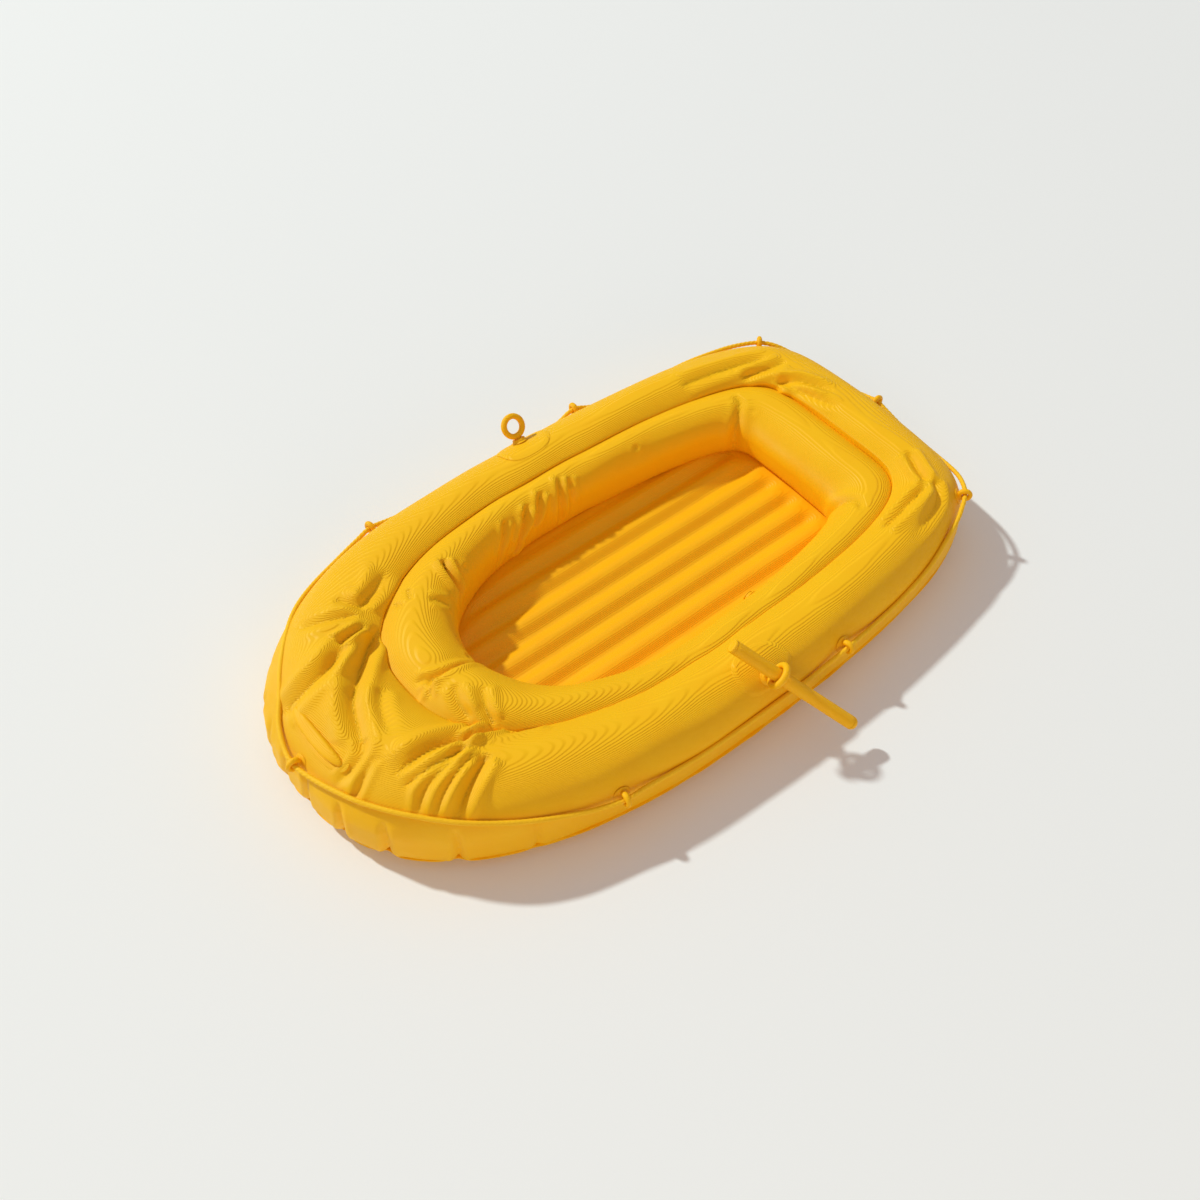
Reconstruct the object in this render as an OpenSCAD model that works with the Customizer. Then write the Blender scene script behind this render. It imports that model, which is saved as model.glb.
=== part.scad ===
// Inflatable rowing dinghy: two welded air chambers round a ribbed floor, with a
// grab line, rowlocks, one oar shaft, a bow handle and three air valves.
// +X is the bow, +Y is port, +Z is up. The origin is on the ground, under the
// widest station, on the centre line.

/* [Hull plan] */
// Length of the hull ahead of the widest station
hull_fore = 895; // [700:5:1100]
// Length of the hull behind the widest station
hull_aft = 900; // [700:5:1100]
// Half of the hull's breadth at the widest station
hull_half = 505; // [400:5:620]
// Fullness of the bow, 2 is an ellipse and more is squarer
bow_fullness = 2.4; // [2:0.1:3]
// Fullness of the stern corners
stern_fullness = 6; // [4:0.5:8]
// Share by which the hull narrows towards the stern
stern_taper = 0.17; // [0:0.01:0.3]

/* [Outer chamber] */
// Height of the outer chamber amidships
outer_h = 200; // [160:5:260]
// Extra height of the outer chamber at the bow
bow_rise = 40; // [0:5:80]
// Breadth of the outer chamber along the sides, out to the beam line
side_tube = 160; // [130:5:200]
// Depth of the bow deck, from the stem to the inner chamber
bow_deck = 280; // [220:5:360]
// Depth of the stern part of the outer chamber
stern_tube = 165; // [130:5:220]
// How far the outer chamber's round would reach behind the seam wall
outer_tuck = 40; // [20:5:60]

/* [Inner chamber] */
// Height of the inner chamber's crest above the ground
inner_top = 180; // [150:5:230]
// Breadth of the inner chamber along the sides
inner_side = 83; // [60:1:110]
// Breadth of the inner chamber at the bow
inner_bow = 185; // [140:5:220]
// Breadth of the inner chamber at the stern
inner_stern = 160; // [120:5:200]
// How far the inner chamber's round would reach behind the seam wall
inner_tuck = 35; // [20:5:50]

/* [Floor] */
// Thickness of the bottom sheet
sheet_t = 3; // [2:0.5:6]
// Thickness of the floor panel between its ribs
floor_t = 24; // [16:1:40]
// Height of the floor's ribs above the panel
rib_h = 16; // [8:1:24]
// Depth of the valleys between the ribs, less than their height
rib_valley = 12; // [5:1:15]
// Spacing of the floor's ribs
rib_pitch = 77; // [60:1:100]
// Number of floor ribs
rib_count = 7; // [5:2:9]
// Breadth of the floor's flat edge, which lies under the inner chamber
floor_edge = 22; // [10:1:30]

/* [Welt] */
// Height of the welt's underside above the ground
welt_z = 35; // [25:1:50]
// Thickness of the welt
welt_t = 5; // [3:0.5:8]
// How far the welt stands out past the beam line
welt_out = 17; // [8:1:25]

/* [Grab line] */
// Diameter of the grab line
rope_d = 12; // [8:0.5:16]
// Radial room round the line in its holders
rope_room = 2.5; // [1:0.5:4]
// Thickness of a holder's loop
loop_d = 9; // [6:0.5:12]
// Diameter of a holder's foot
foot_d = 42; // [34:1:56]
// Thickness of a holder's foot
foot_t = 4; // [3:0.5:6]

/* [Rowlocks] */
// Outer diameter of the oar shaft
oar_d = 32; // [26:1:38]
// Radial room round the shaft in a rowlock ring
oar_room = 3.2; // [2:0.1:6]
// Thickness of a rowlock ring
ring_d = 16; // [12:1:22]
// How much of the ring's inside is cut to a straight wall
ring_flat = 1.2; // [0.8:0.1:2]
// Diameter of the stem that a ring turns on
stem_d = 14; // [10:1:18]
// Length of the stem inside its socket
stem_l = 6; // [4:0.5:10]
// Radial running room round the stem
stem_room = 0.06; // [0.02:0.01:0.1]
// Diameter of the socket
socket_d = 34; // [28:1:44]
// Height of the socket
socket_h = 9; // [8:0.5:16]
// Thickness of the patch under a socket
patch_t = 2; // [1.5:0.5:5]
// Swing of the port ring at rest, towards the stern
port_rest = 30; // [0:1:40]

/* [Oar] */
// Length of shaft inboard of the rowlock
oar_in = 130; // [100:5:400]
// Length of shaft outboard of the rowlock
oar_out = 220; // [150:5:235]
// Wall of the shaft tube
oar_wall = 2; // [1:0.5:4]
// Depth to which the end pieces enter the tube
plug_l = 20; // [10:1:40]
// Radial room round the end pieces
plug_room = 0.1; // [0.05:0.05:0.3]
// Length of the flat end piece outside the tube
grip_l = 8; // [4:1:20]

/* [Bow handle] */
// Length of the handle
handle_l = 186; // [120:2:240]
// Breadth of the handle
handle_w = 30; // [20:1:45]
// Thickness of the handle
handle_t = 13; // [8:1:20]
// Margin of the patch round the handle
handle_margin = 16; // [8:1:30]

/* [Valves] */
// Diameter of a valve's flange
flange_d = 42; // [34:1:52]
// Thickness of a valve's flange
flange_t = 2; // [1.5:0.5:4]
// Outer diameter of a valve's neck
neck_d = 26; // [22:1:32]
// Height of a valve's neck above its flange
neck_h = 7; // [6:0.5:12]
// Diameter of a valve's bore
valve_bore = 18; // [14:0.5:20]
// Radial running room of a cap in its valve
cap_room = 0.06; // [0.02:0.01:0.1]
// Thickness of a cap's head
cap_t = 3; // [2:0.5:5]
// Thickness of the non-return flap
flap_t = 0.8; // [0.5:0.1:1.5]

/* [Hidden] */

$fn = 64;
SKIN = "gold";
TRIM = "goldenrod";
// Stations round the plan and points round a chamber's section
STATIONS = 120;
OUTER_POINTS = 20;
INNER_POINTS = 16;
// Gap that keeps welded neighbours apart
seam = 0.3;
// How far a cut runs past the face it opens
eps = 0.1;
// Squareness of a chamber's lower half, and its round upper half
LOW_SQUARE = 3.5;
ROUND = 2;
// Extra fullness of the cockpit's plan at the stern
COCKPIT_CORNER = 10;
COCKPIT_BOW = 2.2;
COCKPIT_TAPER = 0.26;
WALL_CORNER = 6.5;

// Plan outlines: [length ahead, length behind, half breadth, bow fullness, stern fullness, taper]
BEAM = [hull_fore, hull_aft, hull_half, bow_fullness, stern_fullness, stern_taper];
WALL = [hull_fore - bow_deck, hull_aft - stern_tube, hull_half - side_tube,
        bow_fullness, WALL_CORNER, stern_taper];
COCKPIT = [WALL[0] - inner_bow, WALL[1] - inner_stern, WALL[2] - inner_side,
           COCKPIT_BOW, COCKPIT_CORNER, COCKPIT_TAPER];
function grown(r, d) = [r[0] + d, r[1] + d, r[2] + d, r[3], r[4], r[5]];

// Depth to which a loop is moulded into its foot
LOOP_SINK = 2.5;
// The rope holders: [plan angle, height angle on the chamber]
BOW = [0, 20];
PORT_FORE = [51, 8];
PORT_AFT = [118, 14];
PORT_CORNER = [152.5, 28];
STERN = [180, 30];
STARBOARD_CORNER = [-152.5, 28];
STARBOARD_AFT = [-118, 18];
STARBOARD_FORE = [-50, 20];
// The rowlocks' places, and how much farther up the chamber the middle of a patch is
PORT_LOCK = [95, 47];
STARBOARD_LOCK = [-96.5, 54];
LOCK_PATCH_RISE = 14;
LOCK_PATCH_SIZE = [75, 57];
HANDLE = [0, 50];
MAIN_VALVE = [-168, -7];
INNER_VALVE = [128, 175];
FLOOR_VALVE = [-300, rib_pitch * (rib_count - 1) / 2];

loop_r = rope_d / 2 + rope_room + loop_d / 2;
rope_lift = seam + foot_t + loop_r + loop_d / 2 - LOOP_SINK;

// The grab line's way between and through its holders, back from the bow to port and
// forward from the stern to starboard: [plan angle, height angle, height above the chamber]
PORT_LINE = [
    [BOW[0], BOW[1], rope_lift], [3, 23, 15], [7, 28, 12], [12, 32, 10], [18, 34, 10],
    [25, 30, 10], [32, 23, 10], [38, 16, 11], [45, 9, 14.5],
    [PORT_FORE[0], PORT_FORE[1], rope_lift], [55.5, 8, 14.5], [61, 5, 11], [70, 3, 9],
    [82, 4, 8.5], [94, 4, 8.5], [105, 4, 11], [113.5, 9, 14.5],
    [PORT_AFT[0], PORT_AFT[1], rope_lift], [121.5, 10, 14.5], [127, 5, 11], [134, 5, 9],
    [141, 12, 10], [147.5, 24, 13], [150.3, 27, 16.5],
    [PORT_CORNER[0], PORT_CORNER[1], rope_lift], [154.7, 27, 16], [158, 22, 12],
    [164, 16, 9.5], [172, 20, 11], [177, 27, 15.5]];
STARBOARD_LINE = [
    [STERN[0], STERN[1], rope_lift], [-177, 27, 15.5], [-172, 18, 11], [-165, 11, 9.5],
    [-158.5, 17, 12], [-155, 25, 16],
    [STARBOARD_CORNER[0], STARBOARD_CORNER[1], rope_lift], [-150, 30, 16.5],
    [-147, 30, 13], [-142, 24, 10], [-137, 13, 9], [-130, 5, 10], [-123, 8, 13],
    [STARBOARD_AFT[0], STARBOARD_AFT[1], rope_lift], [-113, 9, 13], [-106, 3, 9.5],
    [-94, 1, 8.5], [-82, 1, 8.5], [-70, 2, 9], [-61, 6, 11], [-55, 13, 14.5],
    [STARBOARD_FORE[0], STARBOARD_FORE[1], rope_lift], [-45.5, 22, 14.5], [-40, 22, 11],
    [-33, 26, 10], [-27, 35, 10], [-21, 44, 10], [-15, 45, 10], [-10, 40, 10],
    [-6.5, 29, 12], [-3, 21, 15]];
rope_points = concat(PORT_LINE, STARBOARD_LINE);

// Height of the floor panel's flat top, on which the inner chamber lies
floor_top = sheet_t + seam + floor_t;
inner_base = floor_top + seam;
// Where the bottom sheet leaves the ground and where its edge ends, from the beam line
SHEET_FOOT = 40;
SHEET_EDGE = 6;
WELT_IN = 2;
sheet_slope = (welt_z - seam - sheet_t) / (SHEET_FOOT + SHEET_EDGE);

// The rowlock ring: radius to its straight inner wall, to its wire's centre and its height
ring_bore = oar_d / 2 + oar_room;
ring_r = ring_bore + ring_d / 2 - ring_flat;
socket_lift = patch_t + 2 * seam;
ring_lift = socket_lift + socket_h + seam + ring_r + ring_d / 2;

function signed_pow(v, p) = sign(v) * pow(abs(v), p);

// A point of a plan outline in the direction a from the origin
function oval(a, r) =
    let (c = cos(a),
         s = sin(a),
         reach = c >= 0 ? r[0] : r[1],
         n = c >= 0 ? r[3] : r[4],
         d = pow(pow(abs(c) / reach, n) + pow(abs(s) / r[2], n), -1 / n),
         narrowing = c >= 0 ? 0 : r[5] * pow(d * c / reach, 2))
    [d * c, d * s * (1 - narrowing)];

// A point at the distance d outboard of the beam line, in the direction a
function rim(a, d) =
    let (p = oval(a, BEAM),
         q = oval(a, WALL))
    p + (p - q) / norm(p - q) * d;

// The top of the bottom sheet at the distance d inboard of the beam line
function sheet_top(d) = sheet_t + max(0, SHEET_FOOT - d) * sheet_slope;

// A chamber's surface: plan angle a, section angle t (0 is outboard, 90 is up)
function outer_at(a, t) =
    let (p = oval(a, BEAM),
         q = oval(a, WALL),
         span = norm(p - q),
         half = (span + outer_tuck) / 2,
         n = sin(t) < 0 ? LOW_SQUARE : ROUND,
         w = max(seam / 2, span - half + half * signed_pow(cos(t), 2 / n)),
         h = (outer_h + bow_rise * pow(max(0, cos(a)), 3)) / 2,
         m = q + (p - q) / span * w)
    [m[0], m[1], max(h * (1 + signed_pow(sin(t), 2 / n)), sheet_top(span - w) + seam)];

function inner_at(a, t) =
    let (p = oval(a, WALL),
         q = oval(a, COCKPIT),
         span = norm(p - q),
         half = (span + inner_tuck) / 2,
         n = sin(t) < 0 ? LOW_SQUARE : ROUND,
         w = min(span - seam / 2, half + half * signed_pow(cos(t), 2 / n)),
         h = (inner_top - inner_base + bow_rise * pow(max(0, cos(a)), 3)) / 2,
         m = q + (p - q) / span * w)
    [m[0], m[1], inner_base + h * (1 + signed_pow(sin(t), 2 / n))];

// Outward normals, from neighbouring points
function normal_of(along, up) = cross(along, up) / norm(cross(along, up));
function outer_normal(a, t) =
    normal_of(outer_at(a + 0.5, t) - outer_at(a - 0.5, t), outer_at(a, t + 0.5) - outer_at(a, t - 0.5));
function inner_normal(a, t) =
    normal_of(inner_at(a + 0.5, t) - inner_at(a - 0.5, t), inner_at(a, t + 0.5) - inner_at(a, t - 0.5));
function lifted(p) = outer_at(p[0], p[1]) + outer_normal(p[0], p[1]) * p[2];

// Places children with +Z along the normal n at the point p, +X down the surface
module stand_on(p, n) {
    translate(p) rotate([0, 90 - asin(n[2]), atan2(n[1], n[0])]) children();
}

module on_outer(place, lift) {
    n = outer_normal(place[0], place[1]);
    stand_on(outer_at(place[0], place[1]) + n * lift, n) children();
}

module on_inner(place, lift) {
    n = inner_normal(place[0], place[1]);
    stand_on(inner_at(place[0], place[1]) + n * lift, n) children();
}

// Triangles of a grid of rows by columns points; columns always close, rows close on request
function grid_faces(rows, columns, closed) = [
    for (i = [0 : rows - (closed ? 1 : 2)])
    for (j = [0 : columns - 1])
    for (half = [0, 1])
    let (i2 = (i + 1) % rows,
         j2 = (j + 1) % columns)
    half == 0
        ? [i * columns + j, i2 * columns + j2, i2 * columns + j]
        : [i * columns + j, i * columns + j2, i2 * columns + j2]];

module outer_chamber() {
    points = [for (i = [0 : STATIONS - 1]) for (j = [0 : OUTER_POINTS - 1])
              outer_at(i * 360 / STATIONS, j * 360 / OUTER_POINTS)];
    color(SKIN) polyhedron(points, grid_faces(STATIONS, OUTER_POINTS, true));
}

module inner_chamber() {
    points = [for (i = [0 : STATIONS - 1]) for (j = [0 : INNER_POINTS - 1])
              inner_at(i * 360 / STATIONS, j * 360 / INNER_POINTS)];
    color(SKIN) polyhedron(points, grid_faces(STATIONS, INNER_POINTS, true));
}

module plan_shape(outline) {
    polygon([for (i = [0 : STATIONS - 1]) oval(i * 360 / STATIONS, outline)]);
}

module floor_panel() {
    rib_r = (pow(rib_pitch / 2, 2) + pow(rib_valley, 2)) / (2 * rib_valley);
    color(SKIN) union() {
        translate([0, 0, sheet_t + seam])
            linear_extrude(floor_t) plan_shape(grown(COCKPIT, floor_edge));
        intersection() {
            translate([0, 0, floor_top - 1]) linear_extrude(rib_h + 2) plan_shape(grown(COCKPIT, -1));
            union() for (k = [0 : rib_count - 1])
                translate([-hull_aft, (k - (rib_count - 1) / 2) * rib_pitch, floor_top + rib_h - rib_r])
                    rotate([0, 90, 0]) cylinder(r = rib_r, h = hull_aft + hull_fore);
        }
    }
}

// The bottom sheet lies flat on the ground and turns up to the welt
module bottom_sheet() {
    edge_top = welt_z - seam;
    levels = [[-SHEET_FOOT, sheet_t], [SHEET_EDGE, edge_top], [SHEET_EDGE, edge_top - sheet_t],
              [-SHEET_FOOT, 0]];
    count = STATIONS;
    points = [for (level = levels) for (i = [0 : count - 1])
              concat(rim(i * 360 / count, level[0]), level[1])];
    caps = [[for (i = [count - 1 : -1 : 0]) i], [for (i = [0 : count - 1]) len(points) - count + i]];
    color(SKIN) polyhedron(points, concat(caps, grid_faces(len(levels), count, false)));
}

module bottom_welt() {
    profile = [[WELT_IN, welt_z], [welt_out, welt_z + 1], [welt_out, welt_z + welt_t - 1],
               [WELT_IN, welt_z + welt_t]];
    points = [for (i = [0 : STATIONS - 1]) for (k = profile)
              concat(rim(i * 360 / STATIONS, k[0]), k[1])];
    color(TRIM) polyhedron(points, grid_faces(STATIONS, len(profile), true));
}

module grab_line() {
    sides = 8;
    path = [for (p = rope_points) lifted(p)];
    count = len(path);
    points = [for (i = [0 : count - 1])
              let (along = path[(i + 1) % count] - path[(i + count - 1) % count],
                   across = cross(along, [0, 0, 1]) / norm(cross(along, [0, 0, 1])),
                   up = cross(across, along) / norm(along))
              for (k = [0 : sides - 1])
              path[i] + (across * cos(k * 360 / sides) + up * sin(k * 360 / sides)) * rope_d / 2];
    color(TRIM) polyhedron(points, grid_faces(count, sides, true));
}

module rope_holder(place) {
    color(TRIM) on_outer(place, seam) union() {
        cylinder(d1 = foot_d, d2 = foot_d - foot_t, h = foot_t);
        translate([0, 0, rope_lift - seam]) rotate([90, 0, 0])
            rotate_extrude() translate([loop_r, 0]) circle(d = loop_d);
    }
}

module rope_holder_bow() { rope_holder(BOW); }
module rope_holder_port_fore() { rope_holder(PORT_FORE); }
module rope_holder_port_aft() { rope_holder(PORT_AFT); }
module rope_holder_port_corner() { rope_holder(PORT_CORNER); }
module rope_holder_stern() { rope_holder(STERN); }
module rope_holder_starboard_corner() { rope_holder(STARBOARD_CORNER); }
module rope_holder_starboard_aft() { rope_holder(STARBOARD_AFT); }
module rope_holder_starboard_fore() { rope_holder(STARBOARD_FORE); }

// A patch that follows the outer chamber: place [a, t], half sizes along and across,
// height of its underside and its thickness; a domed one is thickest in the middle
module skin_patch(place, size, base, thick, domed) {
    rings = [0.3, 0.55, 0.78, 0.92, 1];
    spokes = 24;
    per_a = norm(outer_at(place[0] + 1, place[1]) - outer_at(place[0] - 1, place[1])) / 2;
    per_t = norm(outer_at(place[0], place[1] + 1) - outer_at(place[0], place[1] - 1)) / 2;
    function height(r) = domed ? thick * (0.12 + 0.88 * sqrt(1 - pow(r, 4))) : thick * (r < 1 ? 1 : 0.4);
    function spot(r, k, h) =
        let (e = k * 360 / spokes)
        lifted([place[0] + size[0] * r * signed_pow(cos(e), 0.8) / per_a,
                place[1] + size[1] * r * signed_pow(sin(e), 0.8) / per_t, h]);
    count = len(rings) * spokes;
    points = concat(
        [for (r = rings) for (k = [0 : spokes - 1]) spot(r, k, base + height(r))],
        [for (i = [len(rings) - 1 : -1 : 0]) for (k = [0 : spokes - 1]) spot(rings[i], k, base)],
        [spot(0, 0, base + height(0)), spot(0, 0, base)]);
    fans = [for (k = [0 : spokes - 1]) for (side = [0, 1])
            let (first = side * (2 * count - spokes),
                 here = first + k,
                 next = first + (k + 1) % spokes)
            side == 0 ? [2 * count, next, here] : [2 * count + 1, here, next]];
    polyhedron(points, concat(fans, grid_faces(2 * len(rings), spokes, false)));
}

module rowlock_patch(place) {
    color(SKIN) skin_patch([place[0], place[1] + LOCK_PATCH_RISE], LOCK_PATCH_SIZE, seam, patch_t, false);
}

module rowlock_socket(place) {
    color(TRIM) on_outer(place, socket_lift) difference() {
        union() {
            cylinder(d = socket_d, h = socket_h);
            cylinder(d1 = socket_d + 2 * patch_t + 6, d2 = socket_d, h = socket_h / 3);
        }
        translate([0, 0, socket_h - stem_l - seam]) cylinder(d = stem_d + 2 * stem_room, h = stem_l + 1);
    }
}

// A ring stands on its stem, and its bore points outboard and down when it isn't swung
module lock_frame(place, swing) {
    on_outer(place, ring_lift) rotate([0, 0, swing]) children();
}

module rowlock_ring(place, swing) {
    foot = ring_lift - socket_lift - socket_h;
    color(TRIM) lock_frame(place, swing) union() {
        rotate([0, 90, 0]) rotate_extrude() intersection() {
            translate([ring_r, 0]) circle(d = ring_d);
            translate([ring_bore, -ring_d]) square([ring_d, 2 * ring_d]);
        }
        translate([0, 0, -foot - stem_l]) cylinder(d = stem_d, h = stem_l + ring_d / 2);
    }
}

module port_rowlock_patch() { rowlock_patch(PORT_LOCK); }
module port_rowlock_socket() { rowlock_socket(PORT_LOCK); }
module port_rowlock_ring() { rowlock_ring(PORT_LOCK, port_rest); }
module starboard_rowlock_patch() { rowlock_patch(STARBOARD_LOCK); }
module starboard_rowlock_socket() { rowlock_socket(STARBOARD_LOCK); }
module starboard_rowlock_ring() { rowlock_ring(STARBOARD_LOCK, 0); }

// Places children with +Z along the oar, outboard, from the middle of the port ring
module along_oar(from) {
    lock_frame(PORT_LOCK, port_rest) rotate([0, 90, 0]) translate([0, 0, from]) children();
}

module oar_shaft() {
    color(SKIN) along_oar(-oar_in) difference() {
        cylinder(d = oar_d, h = oar_in + oar_out);
        translate([0, 0, -eps]) cylinder(d = oar_d - 2 * oar_wall, h = oar_in + oar_out + 2 * eps);
    }
}

module oar_plug() {
    cylinder(d = oar_d - 2 * (oar_wall + plug_room), h = plug_l + seam);
}

module oar_tip() {
    color(SKIN) along_oar(oar_out + seam) union() {
        translate([0, 0, -plug_l - seam]) oar_plug();
        intersection() {
            sphere(d = oar_d);
            cylinder(d = oar_d + 1, h = oar_d);
        }
    }
}

module oar_grip() {
    bevel = 2;
    color(SKIN) along_oar(-oar_in - seam) mirror([0, 0, 1]) union() {
        translate([0, 0, -plug_l - seam]) oar_plug();
        cylinder(d = oar_d, h = grip_l - bevel);
        translate([0, 0, grip_l - bevel]) cylinder(d1 = oar_d, d2 = oar_d - 2 * bevel, h = bevel);
    }
}

module bow_handle_patch() {
    half = [handle_l / 2 + handle_margin, handle_w / 2 + handle_margin];
    color(SKIN) skin_patch(HANDLE, half, seam, patch_t, false);
}

module bow_handle() {
    color(TRIM) skin_patch(HANDLE, [handle_l / 2, handle_w / 2], 2 * seam + patch_t, handle_t, true);
}

// A valve stands on its flange; its bore is closed below and holds the flap and the cap's stem
valve_base = flange_t / 2;

module valve_body() {
    color(SKIN) difference() {
        union() {
            cylinder(d = flange_d, h = flange_t);
            cylinder(d = neck_d, h = flange_t + neck_h);
        }
        translate([0, 0, valve_base]) cylinder(d = valve_bore, h = flange_t + neck_h);
    }
}

module valve_flap() {
    color(TRIM) translate([0, 0, valve_base + eps]) cylinder(d = valve_bore - 4 * cap_room, h = flap_t);
}

module valve_cap() {
    stem_from = valve_base + 2 * eps + flap_t;
    neck_top = flange_t + neck_h;
    color(TRIM) union() {
        translate([0, 0, stem_from])
            cylinder(d = valve_bore - 2 * cap_room, h = neck_top + seam - stem_from + eps);
        translate([0, 0, neck_top + seam]) cylinder(d = neck_d + 2, h = cap_t);
    }
}

module on_floor() {
    translate([FLOOR_VALVE[0], FLOOR_VALVE[1], floor_top + rib_h + seam]) children();
}

module main_valve_body() { on_outer(MAIN_VALVE, seam) valve_body(); }
module main_valve_flap() { on_outer(MAIN_VALVE, seam) valve_flap(); }
module main_valve_cap() { on_outer(MAIN_VALVE, seam) valve_cap(); }
module inner_valve_body() { on_inner(INNER_VALVE, seam) valve_body(); }
module inner_valve_flap() { on_inner(INNER_VALVE, seam) valve_flap(); }
module inner_valve_cap() { on_inner(INNER_VALVE, seam) valve_cap(); }
module floor_valve_body() { on_floor() valve_body(); }
module floor_valve_flap() { on_floor() valve_flap(); }
module floor_valve_cap() { on_floor() valve_cap(); }

outer_chamber();
inner_chamber();
floor_panel();
bottom_sheet();
bottom_welt();
grab_line();
rope_holder_bow();
rope_holder_port_fore();
rope_holder_port_aft();
rope_holder_port_corner();
rope_holder_stern();
rope_holder_starboard_corner();
rope_holder_starboard_aft();
rope_holder_starboard_fore();
port_rowlock_patch();
port_rowlock_socket();
port_rowlock_ring();
starboard_rowlock_patch();
starboard_rowlock_socket();
starboard_rowlock_ring();
oar_shaft();
oar_tip();
oar_grip();
bow_handle_patch();
bow_handle();
main_valve_body();
main_valve_flap();
main_valve_cap();
inner_valve_body();
inner_valve_flap();
inner_valve_cap();
floor_valve_body();
floor_valve_flap();
floor_valve_cap();
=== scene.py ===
"""Looks of an inflatable rowing dinghy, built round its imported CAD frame.

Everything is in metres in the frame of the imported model: +X is the bow, +Y is port, +Z is up, and the
origin is on the ground at the hull's widest station. The hull's surfaces are worked out from the same
outlines and sections as the solids they stand for, with the film's folds, pleats and creases pressed in.
"""
import logging
import math
from dataclasses import dataclass, field
from enum import Enum
from typing import Callable

import bmesh
import bpy
import numpy as np
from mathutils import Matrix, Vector


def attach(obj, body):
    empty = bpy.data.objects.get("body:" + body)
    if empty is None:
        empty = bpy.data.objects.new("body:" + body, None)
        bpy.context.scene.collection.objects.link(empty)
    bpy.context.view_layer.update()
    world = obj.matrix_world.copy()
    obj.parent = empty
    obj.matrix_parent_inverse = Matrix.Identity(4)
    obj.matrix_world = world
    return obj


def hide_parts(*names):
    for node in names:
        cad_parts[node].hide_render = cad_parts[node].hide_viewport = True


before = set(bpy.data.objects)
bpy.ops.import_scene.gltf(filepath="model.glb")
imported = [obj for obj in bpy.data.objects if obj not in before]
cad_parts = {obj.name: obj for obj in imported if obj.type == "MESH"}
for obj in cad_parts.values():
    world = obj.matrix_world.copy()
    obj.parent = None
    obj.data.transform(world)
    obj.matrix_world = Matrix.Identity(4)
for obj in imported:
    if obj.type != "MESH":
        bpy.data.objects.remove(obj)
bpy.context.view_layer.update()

MM = 0.001
LOG = logging.getLogger("dinghy")
Array = np.ndarray
Route = tuple[tuple[float, float], ...]


# ---------------------------------------------------------------------------------------------- arrays


def signed_power(value: Array, power: float) -> Array:
    """The size of value raised to power, with value's sign."""
    return np.sign(value) * np.abs(value) ** power


def smooth_step(low: float, high: float, value: Array) -> Array:
    """0 below low, 1 above high, and an S curve between them."""
    share = np.clip((value - low) / (high - low), 0, 1)
    return share * share * (3 - 2 * share)


def unit(vectors: Array) -> Array:
    """The vectors divided by their own lengths."""
    return vectors / np.maximum(np.linalg.norm(vectors, axis=-1, keepdims=True), 1e-12)


def smooth_line(points: Array, per_span: int, closed: bool = False) -> Array:
    """A Catmull-Rom curve through points: each span is the cubic whose end slopes are half the chords
    between the points on either side.

    Args:
        points: the points to pass through, one a row.
        per_span: how many points the curve gets in each span.
        closed: whether the last point joins the first.

    Returns:
        The curve's points, one a row.
    """
    count = len(points)
    spans = count if closed else count - 1
    index = np.arange(spans)[:, None] + np.array([-1, 0, 1, 2])
    index = index % count if closed else np.clip(index, 0, count - 1)
    before, start, end, after = np.moveaxis(points[index], 1, 0)[:, :, None, :]
    u = (np.arange(per_span) / per_span)[None, :, None]
    curve = 0.5 * (
        2 * start
        + (end - before) * u
        + (2 * before - 5 * start + 4 * end - after) * u**2
        + (3 * start - before - 3 * end + after) * u**3
    )
    curve = curve.reshape(-1, points.shape[1])
    return curve if closed else np.vstack([curve, points[-1:]])


# ---------------------------------------------------------------------------------------------- meshes


def grid_faces(rows: int, columns: int, close_rows: bool, close_columns: bool, start: int = 0) -> Array:
    """The quads of a grid of rows by columns points, numbered row by row from start."""
    i = np.arange(rows if close_rows else rows - 1)[:, None]
    j = np.arange(columns if close_columns else columns - 1)[None, :]
    i2, j2 = (i + 1) % rows, (j + 1) % columns
    corners = [i * columns + j, i2 * columns + j, i2 * columns + j2, i * columns + j2]
    return np.stack(corners, axis=-1).reshape(-1, 4) + start


def make_object(name: str, points: Array, faces: list, smooth: bool = True) -> bpy.types.Object:
    """Puts points and faces into a new mesh object at the origin.

    Args:
        name: the piece's name.
        points: the vertices, one a row.
        faces: lists or arrays of vertex numbers. Closed shells are turned so that they face outwards.
        smooth: whether the faces are shaded smooth.

    Returns:
        The new object.
    """
    mesh = bpy.data.meshes.new(name)
    mesh.from_pydata(points.tolist(), [], [list(map(int, face)) for face in faces])
    mesh.validate()
    if smooth:
        shells = bmesh.new()
        shells.from_mesh(mesh)
        bmesh.ops.recalc_face_normals(shells, faces=shells.faces)
        shells.to_mesh(mesh)
        shells.free()
        mesh.shade_smooth()
    piece = bpy.data.objects.new(name, mesh)
    bpy.context.scene.collection.objects.link(piece)
    return piece


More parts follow.
